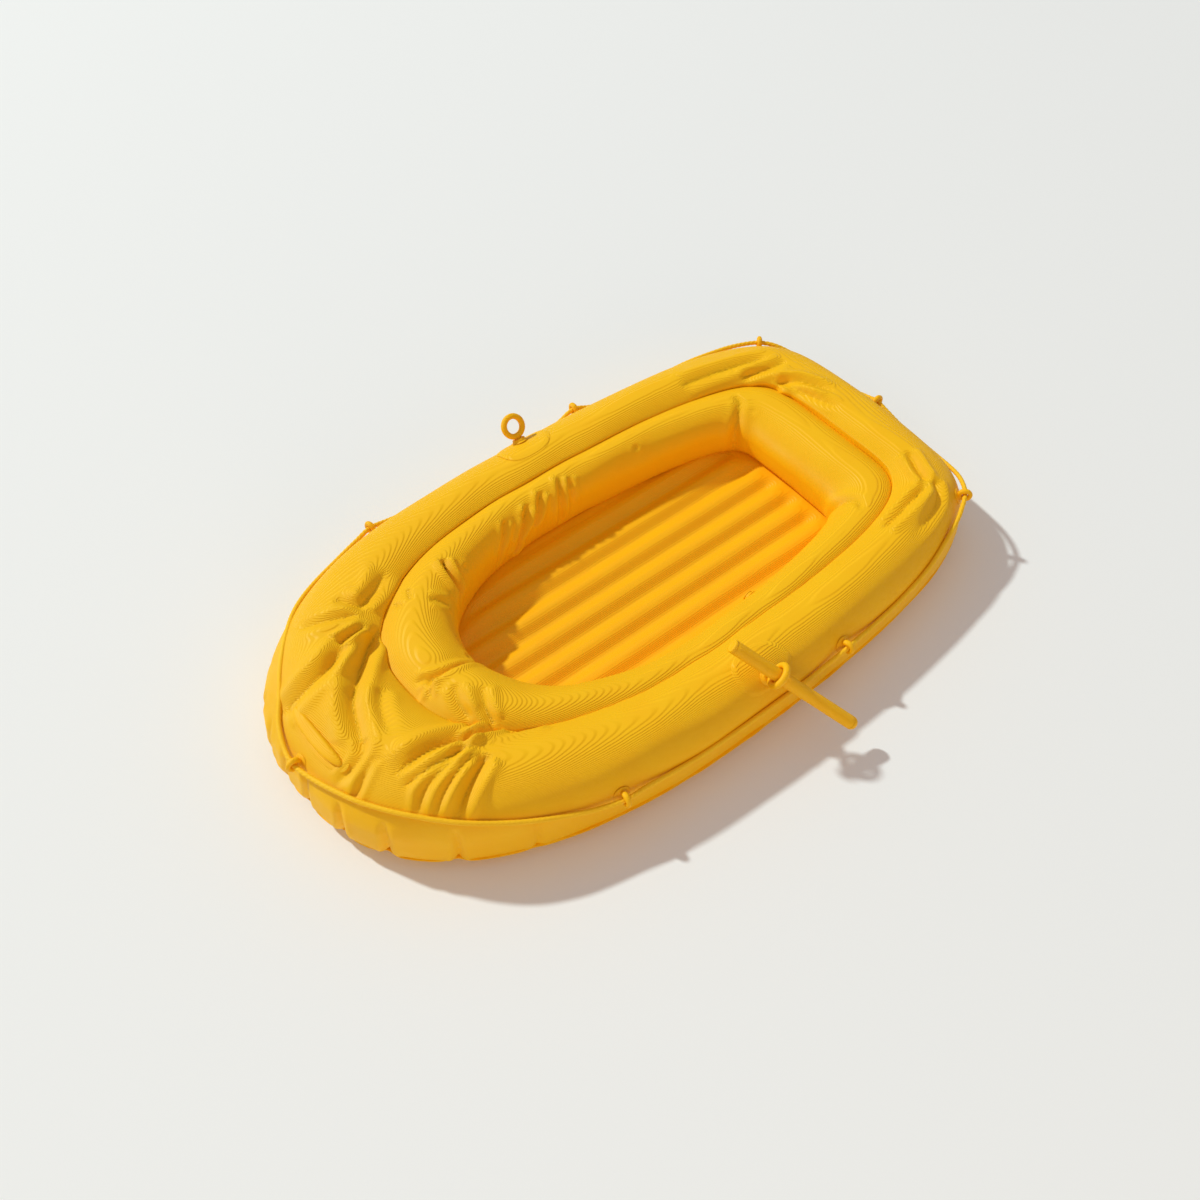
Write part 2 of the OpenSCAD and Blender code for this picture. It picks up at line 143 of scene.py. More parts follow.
def grid_object(name: str, points: Array, close_rows: bool, close_columns: bool) -> bpy.types.Object:
    """A mesh object from a grid of points, with flat-topped ends where the rows don't close.

    Args:
        name: the piece's name.
        points: rows by columns by 3.
        close_rows: whether the last row joins the first.
        close_columns: whether the last column joins the first.

    Returns:
        The new object. An open row end is closed with a fan about its middle point.
    """
    rows, columns = points.shape[:2]
    flat = points.reshape(-1, 3)
    faces = list(grid_faces(rows, columns, close_rows, close_columns))
    if not close_rows:
        ends = [points[0].mean(axis=0), points[-1].mean(axis=0)]
        flat = np.vstack([flat, ends])
        here = np.arange(columns)
        after = (here + 1) % columns
        first, last = rows * columns, rows * columns + 1
        faces += [[first, a, b] for a, b in zip(here, after)]
        top = (rows - 1) * columns
        faces += [[last, b, a] for a, b in zip(top + here, top + after)]
    return make_object(name, flat, faces)


def tube_points(path: Array, radius: Array, sides: int, closed: bool, ripple: Array | None = None) -> Array:
    """A tube along a path: each ring is a circle square to the path, kept level by crossing with up.

    Args:
        path: the centre line, one point a row.
        radius: the radius at each point.
        sides: how many points a ring has.
        closed: whether the path joins its own start.
        ripple: a factor on the radius for each point and side, or None.

    Returns:
        Rings by sides by 3.
    """
    if closed:
        along = np.roll(path, -1, axis=0) - np.roll(path, 1, axis=0)
    else:
        along = np.gradient(path, axis=0)
    along = unit(along)
    across = unit(np.cross(along, [0.0, 0.0, 1.0]))
    up = np.cross(across, along)
    turn = np.arange(sides) * math.tau / sides
    spread = np.asarray(radius)[:, None] * (np.ones((len(path), sides)) if ripple is None else ripple)
    ring = across[:, None] * np.cos(turn)[None, :, None] + up[:, None] * np.sin(turn)[None, :, None]
    return path[:, None] + ring * spread[..., None]


def turned(profile: list[tuple[float, float]], sides: int = 64) -> Array:
    """A profile of (radius, height) turned about the local Z axis, profile points by sides by 3."""
    radius, height = np.array(profile, float).T
    turn = np.arange(sides) * math.tau / sides
    x = radius[:, None] * np.cos(turn)
    y = radius[:, None] * np.sin(turn)
    return np.stack([x, y, np.broadcast_to(height[:, None], x.shape)], axis=-1)


@dataclass(frozen=True)
class Stand:
    """A place on a surface: Z is the outward normal, X runs down the slope and Y is level."""

    origin: Array
    normal: Array
    swing: float = 0.0

    @property
    def axes(self) -> Array:
        """The local X, Y and Z axes as rows, turned by swing degrees about Z."""
        level = unit(np.array([-self.normal[1], self.normal[0], 0.0]))
        down = np.cross(level, self.normal)
        c, s = math.cos(math.radians(self.swing)), math.sin(math.radians(self.swing))
        return np.array([c * down + s * level, c * level - s * down, self.normal])

    def place(self, points: Array) -> Array:
        """Local points moved into the frame."""
        return self.origin + points @ self.axes

    def lifted(self, height: float) -> "Stand":
        """The same stand, moved out along its normal."""
        return Stand(self.origin + self.normal * height, self.normal, self.swing)

    def swung(self, swing: float) -> "Stand":
        """The same stand, turned about its normal."""
        return Stand(self.origin, self.normal, swing)


# ------------------------------------------------------------------------------------------- materials


def linear(hex_colour: str) -> tuple[float, float, float, float]:
    """An sRGB hex colour as linear red, green, blue and alpha."""
    parts = [int(hex_colour[i : i + 2], 16) / 255 for i in (1, 3, 5)]
    low = [p / 12.92 if p <= 0.04045 else ((p + 0.055) / 1.055) ** 2.4 for p in parts]
    return (*low, 1.0)


def add_node(tree: bpy.types.NodeTree, kind: str, inputs: dict | None = None, **settings) -> bpy.types.Node:
    """Adds a node with its settings, and sets or links its inputs.

    Args:
        tree: the node tree.
        kind: the node's type name.
        inputs: input name or number to a value, or to a socket to link from.
        **settings: the node's own properties.

    Returns:
        The new node.
    """
    node = tree.nodes.new(kind)
    for name, value in settings.items():
        setattr(node, name, value)
    for name, value in (inputs or {}).items():
        if isinstance(value, bpy.types.NodeSocket):
            tree.links.new(value, node.inputs[name])
        else:
            node.inputs[name].default_value = value
    return node


@dataclass(frozen=True)
class LayeredVinyl:
    """Satin yellow vinyl whose surface carries the fine level ridges of a body built up in layers.

    The ridges are steps of one layer's height. They crowd together into fine lines on steep faces and
    spread into wandering contour rings where a face is nearly level.
    """

    name: str
    base: str
    deep: str
    roughness: float = 0.5
    layer: float = 2.0 * MM
    step: float = 0.85
    wander: float = 1.6 * MM
    wander_scale: float = 7.0
    grain: float = 0.12 * MM
    grain_scale: float = 900.0

    def build(self) -> bpy.types.Material:
        """Makes the material.

        Returns:
            A material whose bump is the layer steps with a fine grain over them.
        """
        material = bpy.data.materials.new(self.name)
        material.use_nodes = True
        tree = material.node_tree
        shader = tree.nodes["Principled BSDF"]
        place = add_node(tree, "ShaderNodeTexCoord").outputs["Object"]
        height = add_node(tree, "ShaderNodeSeparateXYZ", {0: place}).outputs["Z"]
        wander = add_node(
            tree, "ShaderNodeTexNoise", {"Vector": place, "Scale": self.wander_scale, "Detail": 2.0}
        ).outputs["Fac"]
        drift = add_node(
            tree, "ShaderNodeMath", {0: wander, 1: self.wander * 2, 2: height}, operation="MULTIPLY_ADD"
        ).outputs[0]
        layers = add_node(tree, "ShaderNodeMath", {0: drift, 1: self.layer}, operation="DIVIDE").outputs[0]
        share = add_node(tree, "ShaderNodeMath", {0: layers}, operation="FRACT").outputs[0]
        riser = add_node(
            tree, "ShaderNodeMapRange", {"Value": share, "From Min": 0.25, "From Max": 0.75},
            interpolation_type="SMOOTHSTEP",
        ).outputs[0]
        terrace = add_node(tree, "ShaderNodeMath", {0: riser, 1: share}, operation="SUBTRACT").outputs[0]
        facing = add_node(
            tree, "ShaderNodeSeparateXYZ", {0: add_node(tree, "ShaderNodeNewGeometry").outputs["Normal"]}
        ).outputs["Z"]
        level = add_node(tree, "ShaderNodeMath", {0: facing}, operation="ABSOLUTE").outputs[0]
        strength = add_node(
            tree, "ShaderNodeMapRange",
            {"Value": level, "From Min": 0.2, "From Max": 0.95, "To Min": 0.22, "To Max": self.step},
        ).outputs[0]
        ridge = add_node(tree, "ShaderNodeMath", {0: terrace, 1: strength}, operation="MULTIPLY").outputs[0]
        steps = add_node(
            tree, "ShaderNodeBump", {"Strength": 1.0, "Distance": self.layer, "Height": ridge}
        ).outputs[0]
        grain = add_node(
            tree, "ShaderNodeTexNoise", {"Vector": place, "Scale": self.grain_scale, "Detail": 2.0}
        ).outputs["Fac"]
        surface = add_node(
            tree, "ShaderNodeBump",
            {"Strength": 1.0, "Distance": self.grain, "Height": grain, "Normal": steps},
        ).outputs[0]
        mottle = add_node(
            tree, "ShaderNodeTexNoise", {"Vector": place, "Scale": 14.0, "Detail": 4.0}
        ).outputs["Fac"]
        colour = add_node(
            tree, "ShaderNodeMix", {0: mottle, 6: linear(self.base), 7: linear(self.deep)},
            data_type="RGBA",
        ).outputs[2]
        worn = add_node(
            tree, "ShaderNodeMapRange",
            {"Value": mottle, "To Min": self.roughness - 0.06, "To Max": self.roughness + 0.08},
        ).outputs[0]
        tree.links.new(colour, shader.inputs["Base Color"])
        tree.links.new(worn, shader.inputs["Roughness"])
        tree.links.new(surface, shader.inputs["Normal"])
        shader.inputs["IOR"].default_value = 1.46
        shader.inputs["Specular IOR Level"].default_value = 0.28
        return material


# --------------------------------------------------------------------------------------- hull surfaces


@dataclass(frozen=True)
class Outline:
    """A superellipse round the plan, with its own length and fullness ahead and behind.

    In the direction a, the distance d solves (|cos a| d / reach)^n + (|sin a| d / half)^n = 1, and
    behind the widest station the breadth shrinks with the square of the share of the length.
    """

    ahead: float
    behind: float
    half: float
    bow: float
    stern: float
    taper: float

    def at(self, angle: Array) -> Array:
        """Points of the outline.

        Args:
            angle: plan angles in degrees, from the bow towards port.

        Returns:
            x and y on the last axis.
        """
        c, s = np.cos(np.radians(angle)), np.sin(np.radians(angle))
        front = c >= 0
        reach = np.where(front, self.ahead, self.behind)
        n = np.where(front, self.bow, self.stern)
        d = ((np.abs(c) / reach) ** n + (np.abs(s) / self.half) ** n) ** (-1 / n)
        narrowing = np.where(front, 0.0, self.taper * (d * c / reach) ** 2)
        return np.stack([d * c, d * s * (1 - narrowing)], axis=-1)


SEAM = 0.3 * MM
LOW_SQUARE = 3.5
SHEET_THICK = 3 * MM
SHEET_FOOT = 40 * MM
SHEET_EDGE = 6 * MM
WELT_HEIGHT = 35 * MM
BEAM = Outline(0.895, 0.900, 0.505, 2.4, 6.0, 0.17)
WALL = Outline(0.615, 0.735, 0.345, 2.4, 6.5, 0.17)
COCKPIT = Outline(0.430, 0.575, 0.262, 2.2, 10.0, 0.26)


def sheet_top(inboard: Array) -> Array:
    """The bottom sheet's upper face at a distance inboard of the beam line: flat, then a straight rise."""
    slope = (WELT_HEIGHT - SEAM - SHEET_THICK) / (SHEET_FOOT + SHEET_EDGE)
    return SHEET_THICK + np.maximum(0, SHEET_FOOT - inboard) * slope


class Side(Enum):
    """Which side of a chamber leans on the wall between the two chambers."""

    INBOARD = -1
    OUTBOARD = 1


@dataclass(frozen=True)
class ChamberForm:
    """An air chamber between two outlines.

    Its section is a superellipse, round above and squarer below, that would reach a little past the wall
    between the chambers and is flattened against it. The bow's section is raised with the cube of the
    cosine of the plan angle.
    """

    outer: Outline
    inner: Outline
    base: float
    top: float
    rise: float
    tuck: float
    wall: Side
    on_sheet: bool

    def point(self, a: Array, t: Array) -> Array:
        """Points of the surface.

        Args:
            a: plan angles in degrees.
            t: section angles in degrees, 0 outboard and 90 up.

        Returns:
            x, y and z on the last axis.
        """
        a, t = np.broadcast_arrays(np.asarray(a, float), np.asarray(t, float))
        p, q = self.outer.at(a), self.inner.at(a)
        span = np.linalg.norm(p - q, axis=-1)
        half = (span + self.tuck) / 2
        c, s = np.cos(np.radians(t)), np.sin(np.radians(t))
        power = 2 / np.where(s < 0, LOW_SQUARE, 2.0)
        if self.wall is Side.INBOARD:
            w = np.maximum(SEAM / 2, span - half + half * signed_power(c, power))
        else:
            w = np.minimum(span - SEAM / 2, half + half * signed_power(c, power))
        h = (self.top - self.base + self.rise * np.maximum(0, np.cos(np.radians(a))) ** 3) / 2
        z = self.base + h * (1 + signed_power(s, power))
        if self.on_sheet:
            z = np.maximum(z, sheet_top(span - w) + SEAM)
        plan = q + (p - q) / span[..., None] * w[..., None]
        return np.concatenate([plan, z[..., None]], axis=-1)

    def normal(self, a: Array, t: Array, gap: float = 0.5) -> Array:
        """Outward unit normals, from points gap degrees to each side."""
        a, t = np.asarray(a, float), np.asarray(t, float)
        along = self.point(a + gap, t) - self.point(a - gap, t)
        up = self.point(a, t + gap) - self.point(a, t - gap)
        return unit(np.cross(along, up))

    def stand(self, a: float, t: float) -> Stand:
        """A stand on the surface at one place."""
        return Stand(self.point(a, t), self.normal(a, t))

    def lifted(self, a: Array, t: Array, height: Array) -> Array:
        """Points at a height above the surface."""
        return self.point(a, t) + self.normal(a, t) * np.asarray(height, float)[..., None]


OUTER = ChamberForm(BEAM, WALL, 0.0, 0.200, 0.040, 0.040, Side.INBOARD, True)
INNER = ChamberForm(WALL, COCKPIT, 27.6 * MM, 0.180, 0.040, 0.035, Side.OUTBOARD, False)


class FoldKind(Enum):
    """How a fold's sides stand."""

    CREASE = 0.15
    FOLD = 0.45
    PLEAT = 0.7
    RIDGE = -0.2


@dataclass(frozen=True)
class Fold:
    """A valley pressed into a film along a route, with a puffed-up lip on each side.

    At the distance s from the route, in widths, the film goes in by depth times exp(-1.6 |s|), which
    leaves a sharp line at the bottom and round shoulders, and its lips come out by depth times the
    kind's share, centred at 1.7 widths. Depth and width run from their first value to their second
    along the route, and both ends fade out.
    """

    route: Route
    depth: tuple[float, float]
    width: tuple[float, float]
    kind: FoldKind = FoldKind.FOLD

    def press(self, form: ChamberForm, points: Array) -> Array:
        """How far each point moves out along its normal, negative for in.

        Args:
            form: the chamber that the fold lies on.
            points: the film's points, one a row.

        Returns:
            One distance for each point.
        """
        route = smooth_line(np.array(self.route, float), 12)
        line = form.point(route[:, 0], route[:, 1])
        out = np.zeros(len(points))
        reach = 5 * max(self.width)
        near = np.all((points > line.min(0) - reach) & (points < line.max(0) + reach), axis=1)
        if not near.any():
            return out
        gaps = points[near][:, None] - line[None]
        apart = np.linalg.norm(gaps, axis=-1)
        nearest = apart.argmin(axis=1)
        share = nearest / (len(line) - 1)
        width = self.width[0] + (self.width[1] - self.width[0]) * share
        depth = self.depth[0] + (self.depth[1] - self.depth[0]) * share
        s = apart[np.arange(len(nearest)), nearest] / width
        ends = smooth_step(-0.02, 0.18, share) * smooth_step(-0.02, 0.3, 1 - share)
        valley = -np.exp(-1.6 * np.sqrt(s * s + 0.02))
        lip = self.kind.value * np.exp(-(((s - 1.7) / 0.9) ** 2))
        out[near] = depth * ends * (valley + lip)
        return out


@dataclass(frozen=True)
class Swell:
    """A soft bulge of the film, or a hollow when its height is below zero.

    Its height falls off with the square of the plan and section angles from its middle, as
    exp(-(da / across)^2 - (dt / up)^2). With a cliff, it stands on one side of that plan angle only.
    """

    place: tuple[float, float]
    size: tuple[float, float]
    height: float
    cliff: float | None = None

    def press(self, a: Array, t: Array) -> Array:
        """How far the film moves out at plan angle a and section angle t."""
        da = (a - self.place[0] + 180) % 360 - 180
        dt = (t - self.place[1] + 180) % 360 - 180
        out = self.height * np.exp(-((da / self.size[0]) ** 2) - (dt / self.size[1]) ** 2)
        if self.cliff is None:
            return out
        return out * smooth_step(-0.5, 0.7, (a - self.cliff + 180) % 360 - 180)


UNEVEN = 0.8 * MM


def pressed(
    form: ChamberForm, a: Array, t: Array, folds: tuple[Fold, ...], swells: tuple[Swell, ...]
) -> Array:
    """The film's grid of points, with every fold and swell pressed into it along the normals.

    The film is also a little uneven all over: by a wave of five round the plan and two round the
    section, and a slanting one of eleven and three.

    Args:
        form: the chamber.
        a: plan angles, one a row.
        t: section angles, one a column.
        folds: the folds to press in.
        swells: the swells to press out.

    Returns:
        Rows by columns by 3.
    """
    base = form.point(a, t)
    normals = form.normal(a, t)
    flat = base.reshape(-1, 3)
    move = np.asarray(sum(fold.press(form, flat) for fold in folds)).reshape(base.shape[:-1])
    move = move + sum(swell.press(a, t) for swell in swells)
    wave = np.sin(np.radians(5 * a + 40)) * np.sin(np.radians(2 * t))
    slant = np.sin(np.radians(11 * a - 3 * t))
    return base + normals * (move + UNEVEN * (wave + slant))[..., None]


def plan_angles(outline: Outline, count: int, bow_share: float) -> Array:
    """Plan angles spaced by the outline's own length, and closer round the bow.

    Args:
        outline: the outline to walk round.
        count: how many angles.
        bow_share: how much closer they are at the bow, 0 for not at all.

    Returns:
        The angles in degrees, growing.
    """
    fine = np.linspace(-180, 180, 7201)
    points = outline.at(fine)
    length = np.linalg.norm(np.diff(points, axis=0), axis=1)
    middle = (fine[1:] + fine[:-1]) / 2
    weight = 1 + bow_share * smooth_step(75, 35, np.abs(middle)) if bow_share else 1
    walked = np.concatenate([[0], np.cumsum(length * weight)])
    return np.interp(np.arange(count) / count * walked[-1], walked, fine)


def section_angles(count: int, low_share: float) -> Array:
    """Section angles from -90 to 270 degrees, with low_share of them spent on the lower half."""
    low = int(count * low_share / 2) * 2
    high = count - low
    upper = np.linspace(-10, 190, high, endpoint=False)
    lower = np.linspace(190, 350, low, endpoint=False)
    return np.concatenate([upper, lower])


# --------------------------------------------------------------------------------------------- dressing


@dataclass(frozen=True)
class Dress:
    """What a finished piece is told: its body, its record slot, and the CAD nodes that it stands for."""

    body: str
    slot: str
    nodes: tuple[str, ...]

    def put_on(self, piece: bpy.types.Object, material: bpy.types.Material) -> bpy.types.Object:
        """Gives the piece its material and body, hides the CAD nodes that it stands for, and reports it.

        Args:
            piece: the finished piece.
            material: its material.

        Returns:
            The same piece.
        """
        piece.data.materials.clear()
        piece.data.materials.append(material)
        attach(piece, self.body)
        if self.nodes:
            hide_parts(*self.nodes)
        LOG.info("%s: %d faces, for %s", piece.name, len(piece.data.polygons), ", ".join(self.nodes))
        return piece


# ---------------------------------------------------------------------------------------------- pieces


@dataclass
class AirChambers:
    """The two welded air chambers, with the folds that their films take at the bow and stern."""

    material: bpy.types.Material
    bow_folds: tuple[Fold, ...] = field(default_factory=lambda: BOW_FOLDS)
    stern_folds: tuple[Fold, ...] = field(default_factory=lambda: STERN_FOLDS)
    pleats: tuple[Fold, ...] = field(default_factory=lambda: BOW_PLEATS)
    inner_folds: tuple[Fold, ...] = field(default_factory=lambda: INNER_FOLDS)
    outer_swells: tuple[Swell, ...] = field(default_factory=lambda: OUTER_SWELLS)
    inner_swells: tuple[Swell, ...] = field(default_factory=lambda: INNER_SWELLS)

    def build(self) -> None:
        """Builds both chambers and dresses them."""
        self.outer()
        self.inner()

    def outer(self) -> bpy.types.Object:
        """The large outer chamber, flattened where it lies on the bottom sheet."""
        a = plan_angles(BEAM, 960, 1.2)[:, None]
        t = section_angles(136, 0.22)[None, :]
        points = pressed(OUTER, a, t, self.bow_folds + self.stern_folds + self.pleats, self.outer_swells)
        points[..., 2] = np.maximum(points[..., 2], SHEET_THICK + SEAM)
        piece = grid_object("outer_chamber_film", points, True, True)
        Dress("hull", "chamber_film", ("outer_chamber",)).put_on(piece, self.material)
        return piece

    def inner(self) -> bpy.types.Object:
        """The smaller inner chamber."""
        a = plan_angles(WALL, 620, 0.6)[:, None]
        t = section_angles(112, 0.3)[None, :]
        points = pressed(INNER, a, t, self.inner_folds, self.inner_swells)
        piece = grid_object("inner_chamber_film", points, True, True)
        Dress("hull", "chamber_film", ("inner_chamber",)).put_on(piece, self.material)
        return piece


# The lower flank hangs full over the welt, and the starboard bow most of all
OUTER_SWELLS = (
    Swell((0, -34), (1000, 26), 8 * MM),
    Swell((-11, -18), (10, 34), 20 * MM),
    Swell((-33, -18), (10, 30), 5 * MM),
    Swell((-30, 34), (22, 26), 4 * MM),
    Swell((-32, 54), (20, 18), 7 * MM),
    Swell((-170, 48), (20, 20), 9 * MM),
    Swell((176, 46), (12, 18), 6 * MM),
    Swell((161, -12), (16, 20), 9 * MM),
    Swell((12, -16), (16, 26), 10 * MM),
    Swell((-11, 72), (5, 26), 7 * MM),
    Swell((-3, 66), (4, 24), 6 * MM),
    Swell((-21, 70), (5, 30), 5 * MM),
    Swell((12, 88), (4, 20), 8 * MM),
    Swell((2, 96), (4, 18), -6 * MM),
    Swell((-155, 70), (4, 14), 7 * MM),
    Swell((157, 98), (4, 16), -5 * MM),
    Swell((149, 80), (3, 12), 7 * MM),
)
INNER_SWELLS = (
    Swell((11, 100), (11, 48), 19 * MM, 4.4),
    Swell((2, 112), (3, 40), -5 * MM),
    Swell((22, 72), (5, 22), 5 * MM),
)

# Folds of the bow deck: they fan out from two gathers, one to starboard and one to port
BOW_FOLDS = (
    Fold(((-25, 84), (-23, 102), (-21.5, 118)), (5 * MM, 14 * MM), (20 * MM, 11 * MM)),
    Fold(((-20, 60), (-20, 88), (-20, 116)), (5 * MM, 14 * MM), (17 * MM, 10 * MM)),
    Fold(((-14, 98), (-15, 106), (-17, 124)), (17 * MM, 14 * MM), (11 * MM, 9 * MM), FoldKind.PLEAT),
    Fold(((-7, 34), (-8, 66), (-10, 88), (-14, 106)), (12 * MM, 30 * MM), (22 * MM, 18 * MM)),
    Fold(
        ((-17, 138), (-12, 126), (-6, 108), (-1, 90), (5, 76), (7, 62)),
        (27 * MM, 18 * MM), (16 * MM, 24 * MM),
    ),
    Fold(((-22, 112), (-27, 118), (-33, 114)), (18 * MM, 9 * MM), (14 * MM, 22 * MM)),
    Fold(((-1, 118), (3, 104), (9, 90)), (7 * MM, 5 * MM), (16 * MM, 22 * MM)),
    Fold(((-9, 112), (-6, 98), (-7, 84)), (4 * MM, 6 * MM), (12 * MM, 16 * MM)),
    Fold(((6, 78), (8, 60), (7, 30)), (11 * MM, 8 * MM), (14 * MM, 11 * MM)),
    Fold(((9.5, 70), (10.5, 44), (10.5, 26)), (8 * MM, 9 * MM), (11 * MM, 9 * MM)),
    Fold(((20, 126), (16, 100), (14, 62)), (30 * MM, 14 * MM), (17 * MM, 20 * MM)),
    Fold(((21, 104), (18, 78), (16, 54)), (22 * MM, 8 * MM), (11 * MM, 11 * MM)),
    Fold(((21, 90), (19, 62), (20, 32)), (10 * MM, 11 * MM), (10 * MM, 11 * MM)),
    Fold(((23, 96), (22, 66), (22, 34)), (13 * MM, 8 * MM), (10 * MM, 9 * MM)),
    Fold(((25, 96), (25, 66), (25, 30)), (24 * MM, 14 * MM), (16 * MM, 15 * MM)),
    Fold(((24, 142), (21, 124), (19, 108)), (30 * MM, 22 * MM), (12 * MM, 11 * MM), FoldKind.PLEAT),
    Fold(((32, 148), (26, 132), (21, 118)), (10 * MM, 16 * MM), (16 * MM, 12 * MM)),
)

# Pleats of the bow's lower flank, between the grab line and the welt
BOW_PLEATS = tuple(
    Fold(
        ((a, 20), (a + 0.5, -6), (a - 0.3, -40), (a, -78)),
        (5 * MM, 1.1 * depth), (10 * MM, 12 * MM), FoldKind.CREASE,
    )
    for a, depth in (
        (-38, 9 * MM), (-31, 12 * MM), (-25, 15 * MM), (-19.5, 17 * MM), (-14, 19 * MM), (-9, 18 * MM),
        (-4, 20 * MM), (1.5, 26 * MM), (8.5, 30 * MM), (15.5, 30 * MM), (25, 26 * MM), (36, 10 * MM),
    )
)

STERN_FOLDS = (
    Fold(((-143, 106), (-150, 102), (-157, 90)), (10 * MM, 14 * MM), (20 * MM, 15 * MM)),
    Fold(((-154, 124), (-158, 106), (-160, 84)), (18 * MM, 9 * MM), (13 * MM, 15 * MM)),
    Fold(((-161, 128), (-166, 106), (-174, 84)), (20 * MM, 7 * MM), (12 * MM, 15 * MM), FoldKind.PLEAT),
    Fold(((-163, 124), (-171, 114), (-179, 102)), (12 * MM, 4 * MM), (10 * MM, 15 * MM)),
    Fold(((163, 92), (158, 92), (154, 80)), (12 * MM, 16 * MM), (13 * MM, 13 * MM), FoldKind.PLEAT),
    Fold(((146, 110), (151, 98), (154, 80)), (14 * MM, 18 * MM), (15 * MM, 12 * MM)),
    Fold(((155, 74), (150, 62), (143, 66)), (14 * MM, 6 * MM), (13 * MM, 18 * MM)),
)

INNER_FOLDS = (
    # Wrinkles down the cockpit's starboard wall
    Fold(
        ((-101, 100), (-98, 140), (-96, 176), (-95, 206)),
        (12 * MM, 10 * MM), (9 * MM, 10 * MM), FoldKind.PLEAT,
    ),
    Fold(((-105, 112), (-104, 150), (-104, 190)), (12 * MM, 5 * MM), (9 * MM, 11 * MM)),
    Fold(((-89, 112), (-82, 150), (-75, 184)), (13 * MM, 9 * MM), (9 * MM, 10 * MM), FoldKind.PLEAT),
    Fold(((-79, 122), (-69, 168), (-60, 208)), (14 * MM, 12 * MM), (9 * MM, 9 * MM), FoldKind.PLEAT),
    Fold(((-65, 124), (-58, 160), (-50, 200)), (13 * MM, 9 * MM), (9 * MM, 10 * MM)),
    Fold(((-37, 100), (-31, 130), (-25, 176)), (18 * MM, 18 * MM), (10 * MM, 11 * MM), FoldKind.PLEAT),
    Fold(((-21, 112), (-20, 150)), (8 * MM, 8 * MM), (10 * MM, 11 * MM)),
    # The bow's knot, and the step where the port stretch rides over the starboard one
    Fold(((1, 62), (3.6, 84), (4.6, 114), (5.4, 150)), (11 * MM, 16 * MM), (10 * MM, 10 * MM)),
    Fold(((3, 78), (7, 60)), (7 * MM, 7 * MM), (8 * MM, 8 * MM), FoldKind.PLEAT),
    Fold(((9, 86), (13, 70), (17, 58)), (8 * MM, 12 * MM), (13 * MM, 13 * MM)),
    Fold(((14, 100), (18, 76), (22, 56)), (5 * MM, 14 * MM), (14 * MM, 11 * MM), FoldKind.PLEAT),
    Fold(((-26, 76), (-24, 82), (-21.5, 88)), (7 * MM, 6 * MM), (7 * MM, 7 * MM), FoldKind.CREASE),
    Fold(((-22.5, 62), (-20.5, 78)), (7 * MM, 6 * MM), (7 * MM, 7 * MM), FoldKind.CREASE),
    # Mitred corners and the stern wall's dent
    Fold(
        ((-154, 88), (-156, 110), (-157, 160), (-157, 226)),
        (6 * MM, 24 * MM), (11 * MM, 15 * MM), FoldKind.CREASE,
    ),
    Fold(
        ((152, 88), (155, 110), (157, 160), (157, 226)),
        (6 * MM, 24 * MM), (11 * MM, 15 * MM), FoldKind.CREASE,
    ),
    Fold(((-178, 118), (179, 184)), (3 * MM, 4 * MM), (8 * MM, 8 * MM)),
)


@dataclass
class FloorPanel:
    """The cockpit's air floor, with ribs from bow to stern that close up before its edges."""

    material: bpy.types.Material
    under: float = 3.3 * MM
    edge_top: float = 27.3 * MM
    crest: float = 43.3 * MM
    rib_pitch: float = 77 * MM
    rib_depth: float = 14 * MM
    edge: float = 22 * MM
    corner: float = 14 * MM
    rows: int = 300
    columns: int = 220

    def rim(self) -> tuple[Array, Array]:
        """The line where the floor meets the inner chamber's film, with its corners drawn out.

        Returns:
            Plan angles from bow to stern by port, and the line's points at them.
        """
        a = np.linspace(0, 180, 1801)
        points = INNER.point(a, 229.0)[:, :2]
        drawn = self.corner * np.exp(-(((a - 157) / 4) ** 2))
        return a, points + unit(points) * drawn[:, None]

    def build(self) -> bpy.types.Object:
        """Builds the floor in rows from stern to bow, each across the top and back underneath.

        The top's height is the crest less the rib depth times ((1 + cos(2 pi y / pitch + pi)) / 2)^1.3,
        faded to a quarter of the depth near the rim.

        Returns:
            The finished piece.
        """
        a, rim = self.rim()
        along = (1 - np.cos(np.pi * np.linspace(0.004, 0.996, self.rows))) / 2
        x = rim[-1, 0] + (rim[0, 0] - rim[-1, 0]) * along
        line = np.maximum.accumulate(rim[::-1, 0])
        half = np.maximum(np.interp(x, line, rim[::-1, 1]), 1 * MM)[:, None]
        y = half * np.linspace(-1, 1, self.columns)[None, :]
        x = np.broadcast_to(x[:, None], y.shape)
        reach = np.interp(np.degrees(np.arctan2(np.abs(y), x)), a, np.linalg.norm(rim, axis=1))
        closing = smooth_step(4 * MM, 62 * MM, reach - np.hypot(x, y))
        valley = ((1 + np.cos(math.tau * y / self.rib_pitch + np.pi)) / 2) ** 1.3
        z = self.crest - self.rib_depth * (valley * closing + 0.25 * (1 - closing))
        top = np.stack([x, y, z], axis=-1)
        back = np.linspace(1, -1, 6)[None, :]
        lip, foot = half + self.edge / 2, half + self.edge
        outer = np.hstack([lip, foot, half * back, -foot, -lip])
        level = np.array([self.edge_top, *[self.under] * 8, self.edge_top])
        stations = np.broadcast_to(x[:, :1], outer.shape)
        below = np.stack([stations, outer, np.broadcast_to(level, outer.shape)], axis=-1)
        piece = grid_object("floor_panel_film", np.concatenate([top, below], axis=1), False, True)
        Dress("hull", "floor_film", ("floor_panel",)).put_on(piece, self.material)
        return piece


